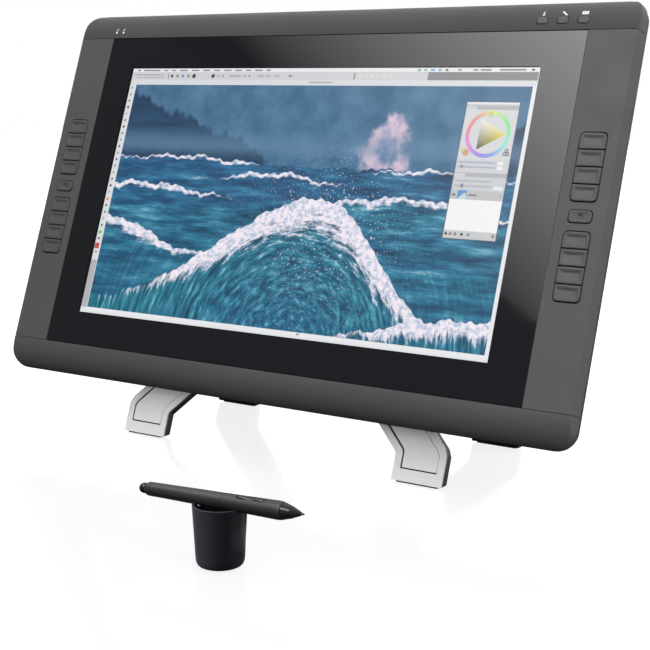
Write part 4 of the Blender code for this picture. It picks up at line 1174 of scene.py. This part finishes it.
def rear_stand():
    refined("rear_legs", "rear_stand", LEG_BLACK, REAR, 0.0006, segments=3)
    inlay_foot, shift, groove = -0.222, 0.042, 0.0009
    well = [(x, y + shift) for x, y in inlay_outline(inlay_foot)]
    band = inset(well, [groove] * 7)
    tools = []
    for side in (-1, 1):
        outer = prism("well", rounded(flipped(well, side), INLAY_RADII), -0.006, -0.0038)
        kept = prism("band", rounded(flipped(band, side), INLAY_RADII), -0.007, -0.003)
        tools.append(combine(outer, [kept]))
    refined("rear_leg_cover", "rear_stand", SILVER, REAR, 0.0004, tools)


def stand_hardware():
    for end in ("front", "rear"):
        for side in ("left", "right"):
            low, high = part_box(f"{end}_{side}_foot_pad")
            middle, half = (low + high) / 2, (high - low) / 2
            rows = ((0.0006, 0.0), (0, 0.0004), (0, 0.0011), (0.0004, high.z))
            pad = loft("pad", stacked(half.x, half.y, 0.002, 8, rows, 0))
            lines = [half.x * (i / 4 - 1) for i in range(1, 8)]
            grooves = [block("groove", x, 0, 0.0004, 0.02, -0.001, 0.0003) for x in lines]
            mesh = dressed(combine(pad, [joined("grooves", grooves)]), 0)
            at = Matrix.Translation((middle.x, middle.y, 0))
            body = "stand" if end == "front" else "rear_stand"
            foot = f"{end}_{side}"
            piece(foot + "_rubber_foot", mesh, RUBBER, body, at, foot + "_foot_pad")
    cap, circle = -0.0628, 0.012
    profile = [(0, 0.0036), (0.0055, 0.0036), (0.0058, 0.0040), (0.0186, 0.0040), (0.0197, 0.0034)]
    profile += [(0.0200, 0.0024), (0.0200, 0), (0, 0)]
    disc = lathe("hub_cap", [(radius, cap - height) for radius, height in profile], 72)
    angles = [math.pi / 6 + math.pi / 3 * k for k in range(6)]
    spots = [(circle * math.cos(a), circle * math.sin(a)) for a in angles]
    holes = [rod("hole", 0.0016, cap - 0.01, cap - 0.0025, centre=spot, sides=20) for spot in spots]
    disc = dressed(combine(disc, [joined("holes", holes)]), 0.0001, 1)
    piece("hub_cap_disc", disc, STEEL, "display", node="hub_cap")
    refined("mount_plate", "display", STEEL, DISPLAY, 0.0003)
    refined("swivel_ring", "stand", BACK, DISPLAY, 0.0004)
    refined("hinge_axle", "stand", STEEL, DISPLAY, 0.0004)
    ribs = []
    for k in range(6):
        y = 0.012 + 0.0026 * k
        ribs.append(slab("rib", (-0.014, y, -0.0022), (0.014, y + 0.0009, -0.0014)))
    at = DISPLAY @ Matrix.Translation((0, 0.031, -0.0665))
    refined("release_lever", "release_lever", SILVER, at, 0.0004, [joined("ribs", ribs)])


# ------------------------------------------------------------------ pen and cup


def eased(low, high, value):
    share = min(1.0, max(0.0, (value - low) / (high - low)))
    return share * share * (3 - 2 * share)


def cup():
    """A turned body with a seam near its foot and, under each pen rest, a hollow that fades downward."""
    rim, waist, base, rise, seam = 0.0212, 0.0190, 0.006, 0.0414, 0.0116
    well, well_floor, lip = 0.0165, 0.0072, 0.0470

    def outside(share):
        """The outer wall's radius and height, from its foot to its rim."""
        return waist + (rim - waist) * share, base + rise * share

    profile = [(0, base), (0.0150, base), (0.0160, 0.0063), (well, well_floor)]
    inner = [k / 16 for k in range(1, 17)]
    profile += [(well + (waist - well) * k, well_floor + (lip - well_floor) * k) for k in inner]
    profile += [(0.0192, 0.0476), (0.0196, 0.0480), (0.0207, 0.0480), (0.0211, 0.0478), (rim, 0.0474)]
    body = [outside(k / 30) for k in range(29, -1, -1)]
    at = outside((seam - base) / rise)[0]
    profile += [(r, z) for r, z in body if z > seam + 0.0007]
    groove = ((0, 0.0003), (0.0005, 0.0002), (0.0005, -0.0002), (0, -0.0003))
    profile += [(at - deep, seam + z) for deep, z in groove]
    profile += [(r, z) for r, z in body if z < seam - 0.0007]
    profile += [(0.0188, 0.0044), (0.0184, 0.0028), (0.0177, 0.0015), (0.0167, 0.0005), (0.0156, 0.0)]
    profile += [(0.0130, 0.0), (0.0128, 0.0006), (0, 0.0006)]
    mesh = lathe("cup", profile, 144)
    for vertex in mesh.vertices:
        x, y, z = vertex.co
        radius = math.hypot(x, y)
        if radius < 0.0186 or z < 0.012:
            continue
        # how far round from the pen's line, on either side of the cup
        angle = (math.atan2(y, x) - PEN_TURN + math.pi / 2) % math.pi - math.pi / 2
        reach = math.radians(24 + 20 * (1 - (z - 0.012) / 0.036))
        share = min(1.0, abs(angle) / reach)
        depth = 0.00140 * (1 - share**4) * eased(0.013, 0.034, z)
        vertex.co.x -= depth * x / radius
        vertex.co.y -= depth * y / radius
    notch = rod("notch", 0.0069, -0.04, 0.04, "X", sides=72)
    notch.transform(Matrix.Translation(-CUP) @ PEN)
    mesh = dressed(combine(mesh, [notch]), 0.00035, 3, 40.0)
    at = Matrix.Translation(CUP)
    piece("pen_cup_body", mesh, CUP_PLASTIC, "cup", at, "pen_cup")
    pad = lathe("foot_pad", [(0, 0.00055), (0.0127, 0.00055), (0.0127, 0.0001), (0.0115, 0.0), (0, 0.0)], 72)
    piece("cup_foot_pad", dressed(pad, 0), RUBBER, "cup", at)


ALONG = Matrix.Rotation(math.pi / 2, 4, "Y")


def turned(name, profile, material, node, body, tools=(), sides=64):
    """A turned piece of the pen: (radius, distance from the eraser's end)."""
    mesh = lathe(name, [(r, along - PEN_LENGTH / 2) for r, along in profile], sides, ALONG)
    if tools:
        mesh = combine(mesh, tools)
    piece(name, dressed(mesh, 0.00012 if tools else 0, 2), material, body, PEN, node)


def pen():
    eraser = [(0, 0)]
    for k in range(1, 13):
        a = math.pi / 2 * k / 12
        eraser.append((0.0042 * math.sin(a) ** 0.9, 0.0046 * (1 - math.cos(a))))
    # hollow at its root, so that it can be pressed over its collar
    eraser += [(0.0042, 0.0062), (0.0039, 0.0066), (0.0037, 0.0066), (0.0037, 0.0056), (0, 0.0056)]
    turned("eraser_tip", eraser, PEN_GLOSS, "pen_eraser", "pen_eraser")
    barrel = [(0, 0.0078), (0.0043, 0.0078), (0.0047, 0.0079), (0.0049, 0.0082), (0.0053, 0.0089)]
    barrel += [(0.0053, 0.0092), (0.0055, 0.0096)]
    for along in (0.014, 0.020, 0.030, 0.040, 0.048, 0.056, 0.064, 0.072, 0.0795):
        barrel.append((0.0055 + 0.0010 * eased(0.0, 0.095, along), along))
    barrel += [(0.0064, 0.0800), (0, 0.0801)]
    turned("pen_barrel_shell", barrel, PEN_BLACK, "pen_barrel", "pen")
    band = [(0, 0.0067), (0.0034, 0.0067), (0.0035, 0.0069), (0.0035, 0.0077), (0, 0.0077)]
    turned("eraser_collar", band, CLEAR, None, "pen", sides=48)
    grip = [(0, 0.0802), (0.0064, 0.0802), (0.0065, 0.0803)]
    grip += [(0.00655, 0.086), (0.00662, 0.093), (0.0067, 0.100), (0.0068, 0.107), (0.0069, 0.113)]
    grip += [(0.007, 0.119), (0.0071, 0.124), (0.0072, 0.1285), (0.00714, 0.131), (0.00692, 0.1328)]
    grip += [(0.0067, 0.1335), (0, 0.1335)]
    switch_along, switch_turn, switch_height = 0.10625, math.radians(14.0), 0.0056
    switch_at = Matrix.Translation((switch_along - PEN_LENGTH / 2, 0, 0))
    switch_at = switch_at @ Matrix.Rotation(switch_turn, 4, "X")
    bed = loft("bed", [ring(0.01305, 0.0029, 0.0027, z, 8) for z in (0.0042, 0.012)])
    bed.transform(switch_at)
    turned("pen_grip_sleeve", grip, GRIP, "pen_grip", "pen", [bed])
    cone = [(0, 0.1338), (0.0064, 0.1338), (0.0066, 0.1341), (0.00575, 0.1370), (0.00490, 0.1402)]
    cone += [(0.00470, 0.1408), (0.00440, 0.1409), (0.00440, 0.1412), (0.00458, 0.1413), (0.0036, 0.1436)]
    cone += [(0.0026, 0.1462), (0.0018, 0.1482), (0.0015, 0.1488), (0.0012, 0.1490), (0.0012, 0.1450)]
    cone.append((0, 0.1450))
    turned("pen_cone_shell", cone, PEN_GLOSS, "pen_tip_cone", "pen")
    nib = [(0, 0.1462), (0.00085, 0.1462), (0.00085, 0.1498), (0.00075, 0.1508), (0.00055, 0.1515)]
    nib += [(0.0003, 0.1519), (0, 0.152)]
    turned("nib_point", nib, PEN_BLACK, "pen_nib", "pen_nib")
    half, widest, under, side = 0.01275, 0.0026, -0.0008, -0.0002
    arch = [math.pi * j / 14 for j in range(15)]
    rows = []
    for k in range(33):
        x = half * math.sin(math.pi / 2 * (k / 16 - 1))
        share = abs(x) / half
        width = widest * math.sqrt(max(0.0, 1 - max(0.0, (share - 0.82) / 0.18) ** 2) * 0.96 + 0.04)
        # lower in its middle, where the rocker tips, and at its two ends
        top = 0.0017 - 0.0007 * (1 - eased(0.05, 0.55, share)) - 0.0008 * eased(0.86, 1.0, share)
        over = [(x, -width * math.cos(a), side + (top - side) * math.sin(a)) for a in arch]
        rows.append([(x, -width, under), *over, (x, width, under)])
    rocker, node = dressed(loft("switch", rows), 0), "pen_side_switch"
    at = PEN @ switch_at @ Matrix.Translation((0, 0, switch_height))
    piece("side_switch_rocker", rocker, PEN_GLOSS, node, at, node)


# ------------------------------------------------------------------ floor, light and camera


def lit_by(lamp, state, words):
    """Let a lamp light only the pieces named, or everything but them."""
    group = bpy.data.collections.new(lamp.name + "_pieces")
    for other in bpy.data.objects:
        if other is not lamp and any(word in other.name for word in words):
            group.objects.link(other)
    for member in group.collection_objects:
        member.light_linking.link_state = state
    if words:
        lamp.light_linking.receiver_collection = group


def sheet(name, left, bottom, right, top):
    corners = ((left, bottom, 0), (right, bottom, 0), (right, top, 0), (left, top, 0))
    mesh = bpy.data.meshes.new(name)
    mesh.from_pydata(corners, [], [(0, 1, 2, 3)])
    return held(mesh)


def white_floor():
    """A glossy floor with an even glow of its own, which no other piece mirrors."""
    floor = sheet("floor", -6, -6, 6, 6)
    n = Nodes("white_floor")
    darkest, lightest = (0.145, 0.145, 0.148), (0.155, 0.155, 0.155)
    n.set(Base_Color=n.ramp(n.noise(n.place, 3.0, 2.0), ((0.2, darkest), (0.8, lightest))))
    n.set(Roughness=n.step(n.noise(n.place, 25.0), 0.3, 0.7, 0.10, 0.14))
    n.shader.inputs["Specular IOR Level"].default_value = 0.50
    n.set(Emission_Color=(1.0, 1.0, 1.0, 1.0))
    n.shader.inputs["Emission Strength"].default_value = 0.82
    floor.data.materials.append(n.material)
    floor.visible_diffuse = floor.visible_glossy = False


def soft_box():
    """A large card in front, which the glass mirrors: brighter towards its top and one end."""
    start, end = Vector((-1.4794, -0.8932, 1.4266)), Vector((-0.4222, -1.945, 1.1168))
    facing = Vector((0.5099, 0.6710, -0.5383))
    along = (end - start).normalized()
    across = along.cross(facing).normalized()
    if across.z < 0:
        across = -across
    card = sheet("card", -0.4, 0, 2.2, 1.3)
    turn = Matrix((along, across, along.cross(across))).transposed().to_4x4()
    card.matrix_world = Matrix.Translation(start) @ turn
    n = Nodes("soft_box")
    x, y, _ = n.xyz(n.place)
    level = n.math("ADD", n.math("MULTIPLY", y, 7.6), n.math("MULTIPLY_ADD", x, 1.42, -0.85))
    level = n.math("MINIMUM", n.math("MAXIMUM", level, 0.12), 6.0)
    light = n.tree.nodes.new("ShaderNodeEmission")
    n.put(light, "Strength", level)
    n.tree.links.new(light.outputs[0], n.tree.nodes["Material Output"].inputs["Surface"])
    card.data.materials.append(n.material)
    card.visible_camera = card.visible_diffuse = card.visible_shadow = card.visible_transmission = False
    lit_by(card, "EXCLUDE", ("floor", "pen_cup_body", "leg", "top_bar"))


def white_room():
    """White to the camera; in reflections bright behind and above; for all else light from above."""
    world = bpy.data.worlds.new("studio")
    bpy.context.scene.world = world
    world.use_nodes = True
    tree = world.node_tree

    def node(kind, *inputs, operation=None):
        """A node whose inputs are the sockets or the numbers given, in turn; None leaves one as it is."""
        made = tree.nodes.new(kind)
        if operation:
            made.operation = operation
        for socket, value in zip(made.inputs, inputs):
            if isinstance(value, bpy.types.NodeSocket):
                tree.links.new(value, socket)
            elif value is not None:
                socket.default_value = value
        return made.outputs

    split = node("ShaderNodeSeparateXYZ", node("ShaderNodeTexCoord")["Generated"])
    path = node("ShaderNodeLightPath")
    above = node("ShaderNodeMapRange", split["Z"], 0.0, 0.45, 0.02, 1.10)[0]
    behind = node("ShaderNodeMapRange", split["Y"], -0.15, 0.30, 0.16, 1.0)[0]
    over_floor = node("ShaderNodeMapRange", split["Z"], -0.40, -0.02, 0.12, 1.0)[0]
    mirrored = node("ShaderNodeMath", behind, over_floor, operation="MULTIPLY")[0]
    unseen = node("ShaderNodeMix", path["Is Glossy Ray"], None, above, mirrored)[0]
    strength = node("ShaderNodeMix", path["Is Camera Ray"], None, unseen, 1.0)[0]
    sky = tree.nodes["Background"]
    tree.links.new(strength, sky.inputs["Strength"])
    sky.inputs["Color"].default_value = (1, 1, 1, 1)


def area_lamps():
    target = Vector((0, 0, 0.15))
    # name, place, size, power, the pieces it is linked to, and whether it lights them or all others
    lamps = (
        ("key", (2.2, -0.5, 1.2), 1.5, 20.0, ("pen_cup_body", "front_legs"), "EXCLUDE"),
        ("top", (0.3, 0.4, 2.6), 1.6, 12.0, (), "EXCLUDE"),
        ("low_front", (-0.3, -2.0, 0.6), 1.2, 15.0, ("leg_inlay", "leg_silver_rim"), "INCLUDE"),
        ("low_left", (-1.2, -1.2, 0.5), 0.8, 55.0, ("pen_cup_body",), "INCLUDE"),
    )
    for name, place, size, power, pieces, state in lamps:
        lamp = bpy.data.lights.new(name, "AREA")
        lamp.size = size
        lamp.energy = power
        obj = bpy.data.objects.new(name, lamp)
        obj.location = place
        obj.rotation_euler = (target - Vector(place)).to_track_quat("-Z", "Y").to_euler()
        obj.visible_glossy = False
        bpy.context.scene.collection.objects.link(obj)
        lit_by(obj, state, pieces)


def long_lens():
    """The view from the right and a little above, with the lens shifted off its middle."""
    camera = bpy.data.cameras.new("camera")
    camera.lens = 75.99
    camera.sensor_width = 36
    camera.shift_x = -0.0154
    camera.shift_y = -0.0369
    camera.clip_start = 0.05
    obj = bpy.data.objects.new("camera", camera)
    obj.location = (0.762, -0.9968, 0.3696)
    obj.rotation_euler = (math.radians(90 - 9.36), 0, math.radians(33.18))
    bpy.context.scene.collection.objects.link(obj)
    bpy.context.scene.camera = obj
    bpy.context.scene.view_settings.view_transform = "Standard"


housing()
keys()
top_controls()
screen()
rear_cover()
back_details()
sockets()
insides()
front_stand()
rear_stand()
stand_hardware()
cup()
pen()
white_floor()
soft_box()
white_room()
area_lamps()
long_lens()
